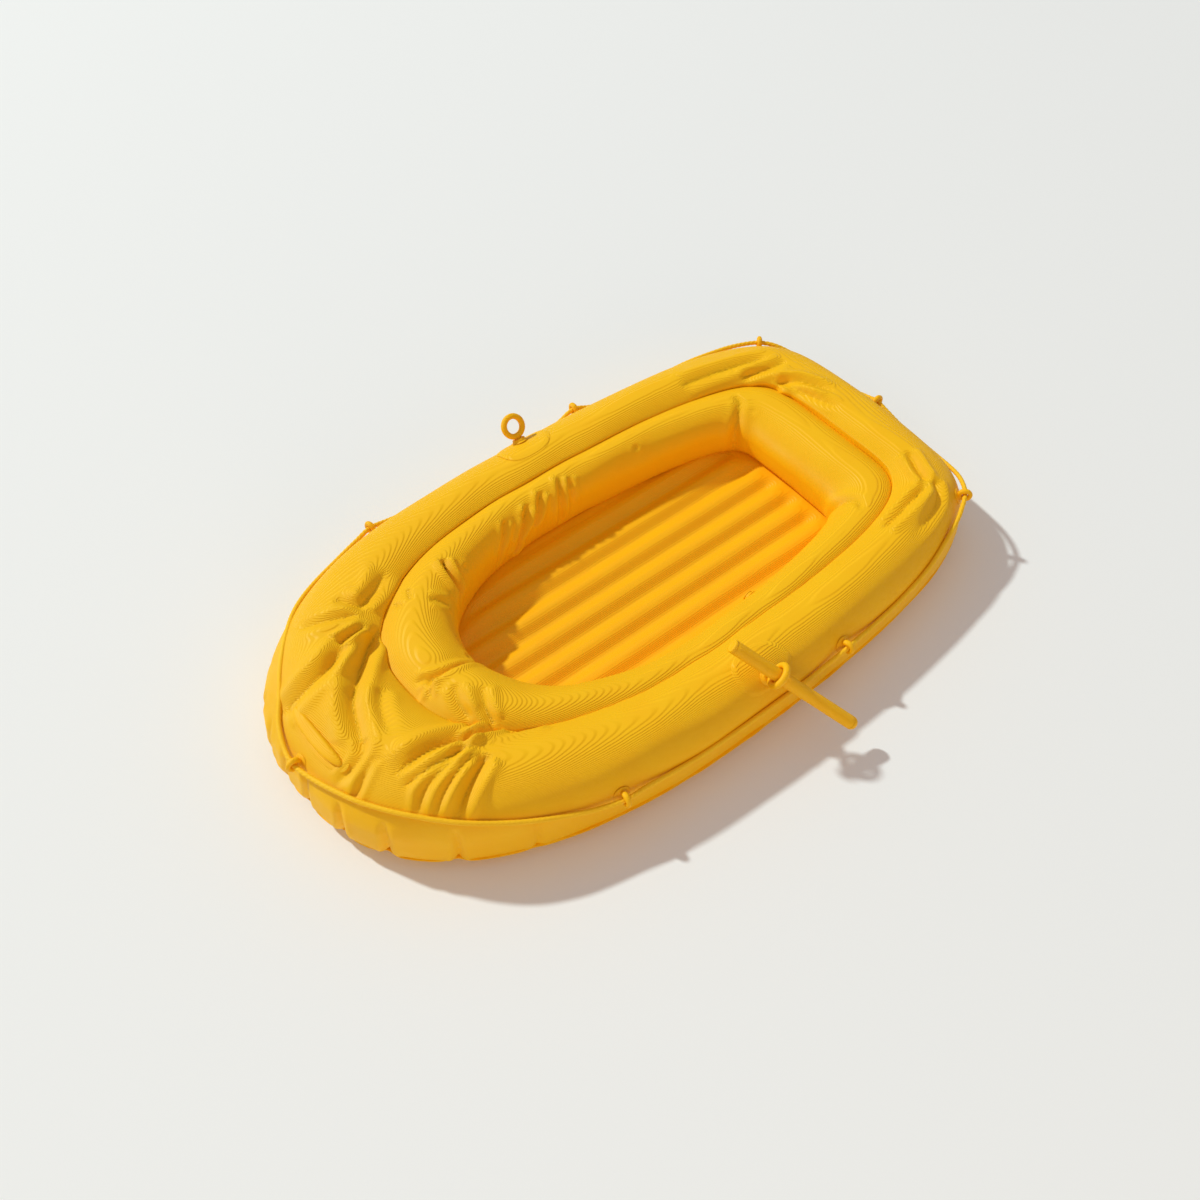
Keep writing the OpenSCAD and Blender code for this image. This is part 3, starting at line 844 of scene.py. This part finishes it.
@dataclass
class Bottom:
    """The bottom sheet, turned up at its edge, and the wavy welt that joins it to the outer chamber."""

    sheet_material: bpy.types.Material
    welt_material: bpy.types.Material
    welt_in: float = -9 * MM
    welt_out: float = 8 * MM
    welt_thick: float = 4 * MM
    sheet_edge: float = -1 * MM

    def rim(self, a: Array, outset: Array) -> Array:
        """Points at a distance outboard of the beam line."""
        p, q = BEAM.at(a), WALL.at(a)
        return p + unit(p - q) * np.asarray(outset)[..., None]

    def scallop(self, a: Array) -> Array:
        """How far the welt draws in at each pleat, from 0 to 1."""
        pinch = np.zeros_like(a)
        for pleat in BOW_PLEATS:
            at = pleat.route[-1][0]
            pinch = np.maximum(pinch, pleat.depth[1] / (26 * MM) * np.exp(-(((a - at) / 1.4) ** 2)))
        return pinch

    def flare(self, a: Array) -> Array:
        """How far the hull's lower flank, and the welt with it, stands out at the starboard bow."""
        return 15 * MM * np.exp(-(((a + 11) / 10) ** 2))

    def build(self) -> None:
        """Builds the sheet and the welt."""
        a = plan_angles(BEAM, 900, 0.9)
        pinch = self.scallop(a)
        wave = np.sin(np.radians(a * 26)) + 0.6 * np.sin(np.radians(a * 41 + 50))
        rings = []
        edge_top = WELT_HEIGHT - SEAM
        for outset, height, sway in (
            (-SHEET_FOOT, SHEET_THICK, 0.0), (-SHEET_FOOT / 2, SHEET_THICK + 12 * MM, 0.5),
            (self.sheet_edge, edge_top, 1.0), (self.sheet_edge, edge_top - SHEET_THICK, 1.0),
            (-SHEET_FOOT / 2, 11 * MM, 0.5), (-SHEET_FOOT, 0.0, 0.0), (-SHEET_FOOT * 3, 0.0, 0.0),
        ):
            plan = self.rim(a, outset + sway * (self.flare(a) - pinch * 9 * MM))
            rings.append(np.column_stack([plan, np.full(len(a), height)]))
        sheet = grid_object("bottom_sheet_film", np.array(rings), False, True)
        Dress("hull", "bottom_film", ("bottom_sheet",)).put_on(sheet, self.sheet_material)
        turn = np.arange(12) * math.tau / 12
        middle = (self.welt_in + self.welt_out) / 2
        reach = (self.welt_out - self.welt_in) / 2
        rings = []
        for angle in turn:
            share = (1 + math.cos(angle)) / 2
            bulge = signed_power(np.array(math.cos(angle)), 0.5)
            lift = signed_power(np.array(math.sin(angle)), 0.7) * self.welt_thick / 2
            out = middle + reach * bulge + self.flare(a) - pinch * 7 * MM + share * wave * 1.2 * MM
            rise = share * (wave * 1.6 * MM + pinch * 2 * MM)
            z = WELT_HEIGHT + self.welt_thick / 2 + 0.5 * MM + lift + rise
            rings.append(np.column_stack([self.rim(a, out), z]))
        welt = grid_object("bottom_welt_flange", np.array(rings)[::-1], True, True)
        Dress("hull", "welt", ("bottom_welt",)).put_on(welt, self.welt_material)


@dataclass
class GrabLine:
    """The three-strand line round the hull, and the eight holders it runs through."""

    material: bpy.types.Material
    holder_material: bpy.types.Material
    diameter: float = 12 * MM
    room: float = 2.5 * MM
    loop: float = 9 * MM
    foot: float = 42 * MM
    foot_thick: float = 4 * MM
    sink: float = 2.5 * MM
    lay: float = 38 * MM

    @property
    def loop_radius(self) -> float:
        """Radius to the middle of a loop's wire."""
        return self.diameter / 2 + self.room + self.loop / 2

    @property
    def lift(self) -> float:
        """Height of the line's middle above the film at a holder."""
        return SEAM + self.foot_thick + self.loop_radius + self.loop / 2 - self.sink

    def holders(self) -> dict[str, tuple[float, float]]:
        """Each holder's plan and section angle, by name."""
        return {
            "bow": (0, 20), "port_fore": (51, 8), "port_aft": (118, 14), "port_corner": (152.5, 28),
            "stern": (180, 30), "starboard_corner": (-152.5, 28), "starboard_aft": (-118, 18),
            "starboard_fore": (-50, 20),
        }

    def route(self) -> Array:
        """The line's points: plan angle, section angle and height above the film in millimetres."""
        held = self.lift / MM
        return np.array([
            (0, 20, held), (3, 23, 15), (7, 28, 10), (12, 32, 7.5), (18, 34, 7), (25, 30, 7), (32, 23, 7),
            (38, 16, 8), (45, 9, 13), (51, 8, held), (55.5, 8, 13), (61, 5, 8), (70, 3, 6.5), (82, 4, 6.5),
            (94, 4, 6.5), (105, 4, 8), (113.5, 9, 13), (118, 14, held), (121.5, 10, 13), (127, 5, 8),
            (134, 5, 6.5), (141, 12, 7.5), (147.5, 24, 11.5), (150.3, 27, 16), (152.5, 28, held),
            (154.7, 27, 16), (158, 22, 10), (164, 16, 7), (172, 20, 8.5), (177, 27, 14.5),
            (180, 30, held), (-177, 27, 14.5),
            (-172, 18, 8.5), (-165, 11, 7), (-158.5, 17, 10), (-155, 25, 16), (-152.5, 28, held),
            (-150, 30, 16), (-147, 30, 11.5), (-142, 24, 7.5), (-137, 13, 6.5), (-130, 5, 7.5), (-123, 8, 13),
            (-118, 18, held), (-113, 9, 13), (-106, 3, 7), (-94, 1, 6.5), (-82, 1, 6.5), (-70, 2, 6.5),
            (-61, 6, 8), (-55, 13, 13), (-50, 20, held), (-45.5, 22, 14), (-40, 22, 10), (-33, 26, 9),
            (-27, 35, 8.5), (-21, 44, 8), (-15, 45, 8), (-10, 40, 8), (-6.5, 29, 11), (-3, 21, 15),
        ])

    def build(self) -> None:
        """Builds the line and its holders."""
        points = self.route()
        path = smooth_line(OUTER.lifted(points[:, 0], points[:, 1], points[:, 2] * MM), 24, True)
        walked = np.concatenate([[0], np.cumsum(np.linalg.norm(np.diff(path, axis=0), axis=1))])
        total = walked[-1] + np.linalg.norm(path[0] - path[-1])
        turns = round(total / self.lay)
        sides = 24
        side = np.arange(sides) * math.tau / sides
        phase = 1.5 * (side[None, :] - turns * math.tau * (walked / total)[:, None])
        ripple = 0.80 + 0.22 * np.abs(np.cos(phase)) ** 0.8
        points = tube_points(path, np.full(len(path), self.diameter / 2), sides, True, ripple)
        rope = grid_object("grab_line_rope", points[:, ::-1], True, True)
        Dress("hull", "grab_line", ("grab_line",)).put_on(rope, self.material)
        LOG.info("grab line: %.2f m", total)
        for name, (a, t) in self.holders().items():
            self.holder(name, OUTER.stand(a, t))

    def holder(self, name: str, stand: Stand) -> bpy.types.Object:
        """One holder: a domed foot and the loop that stands on it.

        Args:
            name: where the holder is.
            stand: its place on the film.

        Returns:
            The holder's mesh.
        """
        r, h = self.foot / 2, self.foot_thick
        neck = self.loop * 0.62
        profile = [
            (0.5 * MM, SEAM), (r - 1 * MM, SEAM), (r, SEAM + 0.8 * MM), (r - 1.5 * MM, h * 0.55),
            (r * 0.66, h * 0.95), (r * 0.42, h * 1.25), (neck, h * 1.7), (neck * 0.8, h * 2.2),
            (0.4 * MM, h * 2.4),
        ]
        foot = turned(profile, 40)
        turn = np.arange(48) * math.tau / 48
        centre = self.lift
        thick = self.loop * 0.68 * (1 + 0.10 * np.cos(turn * 2))
        ring = np.arange(16) * math.tau / 16
        radial = self.loop_radius + thick[:, None] * np.cos(ring)
        loop = np.stack(
            [
                radial * np.cos(turn)[:, None],
                thick[:, None] * 1.05 * np.sin(ring),
                centre + radial * np.sin(turn)[:, None],
            ],
            axis=-1,
        )
        foot_faces = list(grid_faces(len(profile), 40, False, True))
        foot_faces += [list(range(39, -1, -1)), list(range((len(profile) - 1) * 40, len(profile) * 40))]
        loop_faces = list(grid_faces(48, 16, True, True, len(profile) * 40)[:, ::-1])
        points = np.vstack([foot.reshape(-1, 3), loop.reshape(-1, 3)])
        piece = make_object(f"line_holder_{name}", stand.place(points), foot_faces + loop_faces)
        return Dress("hull", "holder", (f"rope_holder_{name}",)).put_on(piece, self.holder_material)


def patch_points(form: ChamberForm, place: tuple[float, float], size: tuple[float, float],
                 height: Callable[[Array], Array], base: float) -> Array:
    """An oval patch that follows a chamber.

    The patch is a grid of rings and spokes in degrees of plan and section angle, each spoke's end on a
    superellipse, and each point lifted off the chamber by the height at its share of the radius.

    Args:
        form: the chamber.
        place: the middle's plan and section angle.
        size: half sizes along and across the chamber, in metres.
        height: the height above the base at a share of the radius.
        base: the height of the underside above the film.

    Returns:
        Rings by spokes by 3, from the middle of the top to the middle of the underside.
    """
    a, t = place
    per_a = np.linalg.norm(form.point(a + 1, t) - form.point(a - 1, t)) / 2
    per_t = np.linalg.norm(form.point(a, t + 1) - form.point(a, t - 1)) / 2
    turn = np.arange(96) * math.tau / 96
    reach_a = size[0] * signed_power(np.cos(turn), 0.8) / per_a
    reach_t = size[1] * signed_power(np.sin(turn), 0.8) / per_t
    shares = np.concatenate([np.linspace(0.02, 0.9, 14), np.linspace(0.92, 1.0, 8)])
    top = [form.lifted(a + reach_a * r, t + reach_t * r, np.full(96, base + height(r))) for r in shares]
    under = [form.lifted(a + reach_a * r, t + reach_t * r, np.full(96, base)) for r in shares[::-3]]
    return np.array(top + under)


@dataclass
class Rowlocks:
    """Both rowlocks: a welded patch, a rubber socket and a ring that turns on its stem in it."""

    film: bpy.types.Material
    moulding: bpy.types.Material
    port_place: tuple[float, float] = (95, 47)
    starboard_place: tuple[float, float] = (-96.5, 54)
    patch_rise: float = 14
    patch_size: tuple[float, float] = (75 * MM, 57 * MM)
    patch_thick: float = 2.6 * MM
    bore: float = 19.2 * MM
    wire: float = 16 * MM
    stem: float = 14 * MM
    socket: float = 34 * MM
    socket_high: float = 9 * MM
    port_rest: float = 30.0

    @property
    def ring_radius(self) -> float:
        """Radius to the middle of the ring's wire."""
        return self.bore + self.wire / 2 - 1.2 * MM

    @property
    def socket_lift(self) -> float:
        """Height of the socket's underside above the film."""
        return 2.0 * MM + 2 * SEAM

    @property
    def ring_lift(self) -> float:
        """Height of the ring's middle above the film."""
        return self.socket_lift + self.socket_high + SEAM + self.ring_radius + self.wire / 2

    def place(self, side: int) -> tuple[float, float]:
        """Plan and section angle of a side's rowlock, 1 for port and -1 for starboard."""
        return self.port_place if side > 0 else self.starboard_place

    def stand(self, side: int, swing: float = 0.0) -> Stand:
        """The stand of a side's rowlock."""
        return OUTER.stand(*self.place(side)).swung(swing)

    def build(self) -> None:
        """Builds both rowlocks."""
        for side, name, swing in ((1, "port", self.port_rest), (-1, "starboard", 0.0)):
            self.patch(side, name)
            self.socket_piece(side, name)
            self.ring(side, name, swing)

    def patch(self, side: int, name: str) -> bpy.types.Object:
        """A low oval patch with a rounded edge and a bead just inside it."""

        def height(r: float) -> float:
            edge = math.sqrt(max(0.0, 1 - r**10))
            bead = 0.5 * math.exp(-(((r - 0.86) / 0.05) ** 2))
            return self.patch_thick * (0.08 + 0.72 * edge + bead * edge)

        a, t = self.place(side)
        points = patch_points(OUTER, (a, t + self.patch_rise), self.patch_size, height, SEAM)
        piece = grid_object(f"{name}_rowlock_patch_film", points, False, True)
        return Dress("hull", "patch", (f"{name}_rowlock_patch",)).put_on(piece, self.film)

    def socket_piece(self, side: int, name: str) -> bpy.types.Object:
        """A stepped rubber boss with a flared foot and an open blind hole."""
        r, h, hole = self.socket / 2, self.socket_high, self.stem / 2 + 0.06 * MM
        profile = [
            (0.3 * MM, 0), (r + 5 * MM, 0), (r + 5 * MM, 0.8 * MM), (r + 2.6 * MM, 1.8 * MM),
            (r + 0.6 * MM, 3.6 * MM),
            (r, 5 * MM), (r, h - 1.6 * MM), (r - 0.6 * MM, h - 0.5 * MM), (r - 2 * MM, h), (hole + 1 * MM, h),
            (hole, h - 0.8 * MM), (hole, h - 6.2 * MM), (0.3 * MM, h - 6.2 * MM),
        ]
        points = self.stand(side).lifted(self.socket_lift).place(turned(profile, 56))
        piece = grid_object(f"{name}_rowlock_boss", points, False, True)
        return Dress("hull", "rowlock_rubber", (f"{name}_rowlock_socket",)).put_on(piece, self.moulding)

    def ring(self, side: int, name: str, swing: float) -> bpy.types.Object:
        """A ring on a stem: a torus cut straight inside, with a fillet where the stem meets it."""
        stand = self.stand(side, swing).lifted(self.ring_lift)
        turn = np.arange(72) * math.tau / 72
        wire = np.arange(24) * math.tau / 24
        radial = np.maximum(self.ring_radius + self.wire / 2 * np.cos(wire), self.bore)
        lump = 1 + 0.012 * np.sin(3 * turn) + 0.008 * np.sin(7 * turn + 1)
        spread = self.bore + (radial - self.bore)[None, :] * lump[:, None]
        torus = np.stack(
            [
                np.broadcast_to(self.wire / 2 * np.sin(wire), (72, 24)),
                spread * np.cos(turn)[:, None],
                spread * np.sin(turn)[:, None],
            ],
            axis=-1,
        )
        foot = self.ring_lift - self.socket_lift - self.socket_high
        r = self.stem / 2
        low = -self.ring_radius
        profile = [
            (0.2 * MM, -foot - 6 * MM), (r - 0.8 * MM, -foot - 6 * MM), (r, -foot - 5.2 * MM),
            (r, -foot + 0.4 * MM), (r - 0.4 * MM, low - 5 * MM), (r + 0.4 * MM, low - 2 * MM),
            (r + 0.6 * MM, low), (0.2 * MM, low + 5 * MM),
        ]
        stem = turned(profile, 24)
        faces = list(grid_faces(72, 24, True, True))
        first = 72 * 24
        faces += list(grid_faces(len(profile), 24, False, True, first)[:, ::-1])
        faces += [list(range(first + 23, first - 1, -1))]
        faces += [list(range(first + (len(profile) - 1) * 24, first + len(profile) * 24))]
        points = stand.place(np.vstack([torus.reshape(-1, 3), stem.reshape(-1, 3)]))
        piece = make_object(f"{name}_rowlock_eye", points, faces)
        dress = Dress(f"{name}_rowlock", "rowlock_ring", (f"{name}_rowlock_ring",))
        return dress.put_on(piece, self.moulding)


@dataclass
class Oar:
    """The oar shaft in the port ring, with its round outer end and its flat, bevelled inner end."""

    material: bpy.types.Material
    rowlocks: Rowlocks
    radius: float = 16 * MM
    inboard: float = 130 * MM
    outboard: float = 220 * MM
    grip: float = 8 * MM

    def along(self, profile: list[tuple[float, float]]) -> Array:
        """A profile of (radius, distance outboard) turned about the oar's own line."""
        local = turned(profile, 48)
        local = np.stack([local[..., 2], local[..., 1], -local[..., 0]], axis=-1)
        stand = self.rowlocks.stand(1, self.rowlocks.port_rest).lifted(self.rowlocks.ring_lift)
        return stand.place(local)

    def build(self) -> None:
        """Builds the shaft and both end pieces."""
        r, a, b = self.radius, -self.inboard, self.outboard
        steps = np.linspace(a + 1 * MM, b - 1 * MM, 40)
        bow = [(r * (1 + 0.004 * math.sin(s * 40)), s) for s in steps]
        shaft = [(r - 2 * MM, a), (r - 0.4 * MM, a), *bow, (r - 0.4 * MM, b), (r - 2 * MM, b)]
        piece = grid_object("oar_shaft_tube", self.along(shaft), False, True)
        Dress("oar", "oar", ("oar_shaft",)).put_on(piece, self.material)
        turn = np.radians(np.arange(0, 90, 6))
        tip = [(r - 2.1 * MM, b - 20 * MM), (r - 2.1 * MM, b + SEAM), (r - 0.3 * MM, b + SEAM)]
        tip += [(r * math.cos(x), b + SEAM + r * math.sin(x)) for x in turn[1:]]
        piece = grid_object("oar_tip_cap", self.along([(0.3 * MM, b - 20 * MM), *tip]), False, True)
        Dress("oar", "oar", ("oar_tip",)).put_on(piece, self.material)
        end = a - SEAM - self.grip
        grip = [
            (0.3 * MM, end + 0.8 * MM), (r * 0.35, end + 0.6 * MM), (r * 0.5, end), (r - 3 * MM, end),
            (r - 1.2 * MM, end + 0.5 * MM), (r, end + 2.2 * MM), (r, a - SEAM), (r - 2.1 * MM, a - SEAM),
            (r - 2.1 * MM, a + 20 * MM), (0.3 * MM, a + 20 * MM),
        ]
        piece = grid_object("oar_grip_cap", self.along(grip), False, True)
        Dress("oar", "oar", ("oar_grip",)).put_on(piece, self.material)


@dataclass
class BowHandle:
    """The moulded carrying handle across the bow, on its welded patch."""

    film: bpy.types.Material
    moulding: bpy.types.Material
    place: tuple[float, float] = (0.0, 50.0)
    length: float = 186 * MM
    breadth: float = 30 * MM
    thick: float = 13 * MM
    margin: float = 16 * MM

    def build(self) -> None:
        """Builds the patch and the handle."""
        half = (self.length / 2, self.breadth / 2)
        size = (half[0] + self.margin, half[1] + self.margin)

        def patch(r: float) -> float:
            return 2 * MM * (0.1 + 0.9 * math.sqrt(max(0.0, 1 - r**12)))

        def handle(r: float) -> float:
            return self.thick * (0.12 + 0.88 * max(0.0, 1 - r**5) ** 0.5)

        points = patch_points(OUTER, self.place, size, patch, SEAM)
        piece = grid_object("bow_handle_patch_film", points, False, True)
        Dress("hull", "patch", ("bow_handle_patch",)).put_on(piece, self.film)
        points = patch_points(OUTER, self.place, half, handle, 2 * SEAM + 2 * MM)
        piece = grid_object("bow_handle_moulding", points, False, True)
        Dress("hull", "handle", ("bow_handle",)).put_on(piece, self.moulding)


@dataclass
class Valves:
    """The three air valves: a flanged body, a soft flap and a cap with a ribbed rim."""

    moulding: bpy.types.Material
    flange: float = 42 * MM
    flange_thick: float = 2 * MM
    neck: float = 26 * MM
    neck_high: float = 7 * MM
    bore: float = 18 * MM
    cap_thick: float = 3 * MM

    def stands(self) -> dict[str, Stand]:
        """Where each valve stands, by name."""
        crest = np.array([-0.300, 0.231, 43.3 * MM])
        return {
            "main": OUTER.stand(-168, -7),
            "inner": INNER.stand(128, 175),
            "floor": Stand(crest, np.array([0.0, 1e-9, 1.0])),
        }

    def build(self) -> None:
        """Builds every valve."""
        for name, stand in self.stands().items():
            self.body(name, stand.lifted(SEAM))
            self.flap(name, stand.lifted(SEAM))
            self.cap(name, stand.lifted(SEAM))

    def piece(self, name: str, stand: Stand, profile: list[tuple[float, float]], ribs: Array | None = None):
        """A turned piece, with the outermost rings drawn in and out by ribs when it has them."""
        local = turned(profile, 72)
        if ribs is not None:
            local[..., :2] *= ribs[:, :, None]
        return grid_object(name, stand.place(local), False, True)

    def body(self, name: str, stand: Stand) -> bpy.types.Object:
        """The flanged body with its open bore."""
        f, n, b = self.flange / 2, self.neck / 2, self.bore / 2
        low, top = self.flange_thick, self.flange_thick + self.neck_high
        profile = [
            (0.2 * MM, 0), (f - 0.5 * MM, 0), (f, 0.5 * MM), (f - 0.4 * MM, 1.3 * MM), (f - 1.6 * MM, low),
            (n + 2 * MM, low), (n + 0.5 * MM, low + 0.5 * MM), (n, low + 1.6 * MM), (n, top - 0.5 * MM),
            (n - 0.5 * MM, top), (b + 0.4 * MM, top), (b, top - 0.4 * MM), (b, low / 2), (0.2 * MM, low / 2),
        ]
        piece = self.piece(f"{name}_valve_housing", stand, profile)
        return Dress("hull", "valve", (f"{name}_valve_body",)).put_on(piece, self.moulding)

    def flap(self, name: str, stand: Stand) -> bpy.types.Object:
        """The thin round flap at the bottom of the bore."""
        r, z = self.bore / 2 - 0.15 * MM, self.flange_thick / 2 + 0.1 * MM
        profile = [
            (0.1 * MM, z), (r, z), (r, z + 0.4 * MM), (r - 0.3 * MM, z + 0.8 * MM), (0.1 * MM, z + 0.8 * MM),
        ]
        piece = self.piece(f"{name}_valve_soft_flap", stand, profile)
        return Dress("hull", "valve_flap", (f"{name}_valve_flap",)).put_on(piece, self.moulding)

    def cap(self, name: str, stand: Stand) -> bpy.types.Object:
        """The cap: a plug under a dished head whose rim is ribbed for the fingers."""
        stem, head = self.bore / 2 - 0.06 * MM, self.neck / 2 + 1 * MM
        low = self.flange_thick / 2 + 1.0 * MM
        top = self.flange_thick + self.neck_high + SEAM
        high = top + self.cap_thick
        profile = [
            (0.2 * MM, low), (stem - 0.4 * MM, low), (stem, low + 0.5 * MM), (stem, top),
            (head - 0.5 * MM, top),
            (head, top + 0.5 * MM), (head, high - 0.8 * MM), (head - 0.8 * MM, high), (head - 2.6 * MM, high),
            (head - 3.4 * MM, high - 0.8 * MM), (3 * MM, high - 0.8 * MM), (2 * MM, high - 0.2 * MM),
            (0.2 * MM, high),
        ]
        ribs = np.ones((len(profile), 72))
        ribs[5:8] -= 0.02 * (1 + np.cos(np.arange(72) * math.tau / 4))
        piece = self.piece(f"{name}_valve_plug", stand, profile, ribs)
        return Dress(f"{name}_cap", "valve", (f"{name}_valve_cap",)).put_on(piece, self.moulding)


# --------------------------------------------------------------------------------------------- studio


@dataclass
class Studio:
    """The camera, the pale floor and the light: one fairly hard key, a soft sky and a low warm fill."""

    camera_at: tuple[float, float, float] = (1.322, 1.551, 2.571)
    looks_at: tuple[float, float, float] = (0.025, -0.040, 0.0)
    lens: float = 39.21
    key_from: tuple[float, float, float] = (0.41, -0.99, 1.0)
    key_distance: float = 46.0
    key_width: float = 2.4
    key_strength: float = 2.32
    key_colour: str = "#F2FFFB"
    fill_from: tuple[float, float, float] = (0.55, 1.0, 0.30)
    fill_distance: float = 9.0
    fill_width: float = 4.0
    fill_strength: float = 0.50
    fill_colour: str = "#FFDEB4"
    sky_strength: float = 0.44
    sky_colour: str = "#FFF5F2"
    floor_colour: str = "#F2F2F3"

    def build(self) -> None:
        """Makes the camera, the light and the floor."""
        bpy.context.scene.view_settings.view_transform = "Standard"
        data = bpy.data.cameras.new("camera")
        data.lens = self.lens
        data.sensor_width = 36.0
        camera = bpy.data.objects.new("camera", data)
        bpy.context.scene.collection.objects.link(camera)
        camera.location = self.camera_at
        away = Vector(self.camera_at) - Vector(self.looks_at)
        camera.rotation_euler = away.to_track_quat("Z", "Y").to_euler()
        bpy.context.scene.camera = camera
        self.lamp(
            "key", self.key_from, self.key_distance, self.key_width, self.key_strength, self.key_colour
        )
        self.lamp(
            "fill", self.fill_from, self.fill_distance, self.fill_width, self.fill_strength,
            self.fill_colour,
        )
        world = bpy.data.worlds.new("sky")
        world.use_nodes = True
        sky = world.node_tree.nodes["Background"]
        sky.inputs["Color"].default_value = linear(self.sky_colour)
        sky.inputs["Strength"].default_value = self.sky_strength
        bpy.context.scene.world = world
        half = 30.0
        corners = np.array([[-half, -half, 0], [half, -half, 0], [half, half, 0], [-half, half, 0]], float)
        floor = make_object("studio_floor", corners, [[0, 1, 2, 3]], smooth=False)
        material = bpy.data.materials.new("matt paper sweep")
        material.use_nodes = True
        tree = material.node_tree
        shader = tree.nodes["Principled BSDF"]
        shader.inputs["Base Color"].default_value = linear(self.floor_colour)
        shader.inputs["Roughness"].default_value = 0.9
        floor.data.materials.append(material)


    def lamp(self, name: str, way: tuple[float, float, float], distance: float, width: float,
             strength: float, colour: str) -> None:
        """Hangs a round lamp that faces the origin.

        Args:
            name: the lamp's name.
            way: the direction it hangs in.
            distance: how far off it hangs, in metres.
            width: its diameter in metres.
            strength: the light that it gives at the origin, in watts per square metre and steradian.
            colour: its sRGB colour.
        """
        data = bpy.data.lights.new(name, "AREA")
        data.shape = "DISK"
        data.size = width
        data.energy = strength * math.pi * distance**2
        data.color = linear(colour)[:3]
        lamp = bpy.data.objects.new(name, data)
        lamp.location = Vector(way).normalized() * distance
        lamp.rotation_euler = Vector(way).to_track_quat("Z", "Y").to_euler()
        bpy.context.scene.collection.objects.link(lamp)


def main() -> None:
    """Builds the studio and every sub-assembly in order."""
    Studio().build()
    # Calendered vinyl film, cut to panels and welded at its seams
    film = LayeredVinyl("Satin yellow PVC film", "#FFC60C", "#FFBC02").build()
    # The same film, drawn smooth over the floor's ribs; its yellow is a deeper orange than the chambers',
    # partly matched to the lit ribs and partly painted shade for the orange light bounced round the cockpit
    floor_film = LayeredVinyl(
        "Ribbed yellow PVC floor", "#FFBC04", "#FEB200", step=0.4, grain=0.04 * MM
    ).build()
    # Injection-moulded soft vinyl: rings, sockets, holders, handle, valves and the oar
    moulding = LayeredVinyl(
        "Moulded yellow vinyl fitting", "#FFC406", "#FEB800", step=0.5, wander=0.6 * MM
    ).build()
    # Three-strand laid line of dyed yellow polypropylene, its base colour made lighter than the film's as a
    # painted highlight
    line = LayeredVinyl(
        "Yellow polypropylene rope", "#FFCB20", "#FDBE10", roughness=0.6, step=0.3
    ).build()
    AirChambers(film).build()
    FloorPanel(floor_film).build()
    Bottom(film, film).build()
    GrabLine(line, moulding).build()
    rowlocks = Rowlocks(film, moulding)
    rowlocks.build()
    Oar(moulding, rowlocks).build()
    BowHandle(film, moulding).build()
    Valves(moulding).build()


if __name__ == "__main__":
    logging.basicConfig(level=logging.INFO, format="%(message)s")
    main()
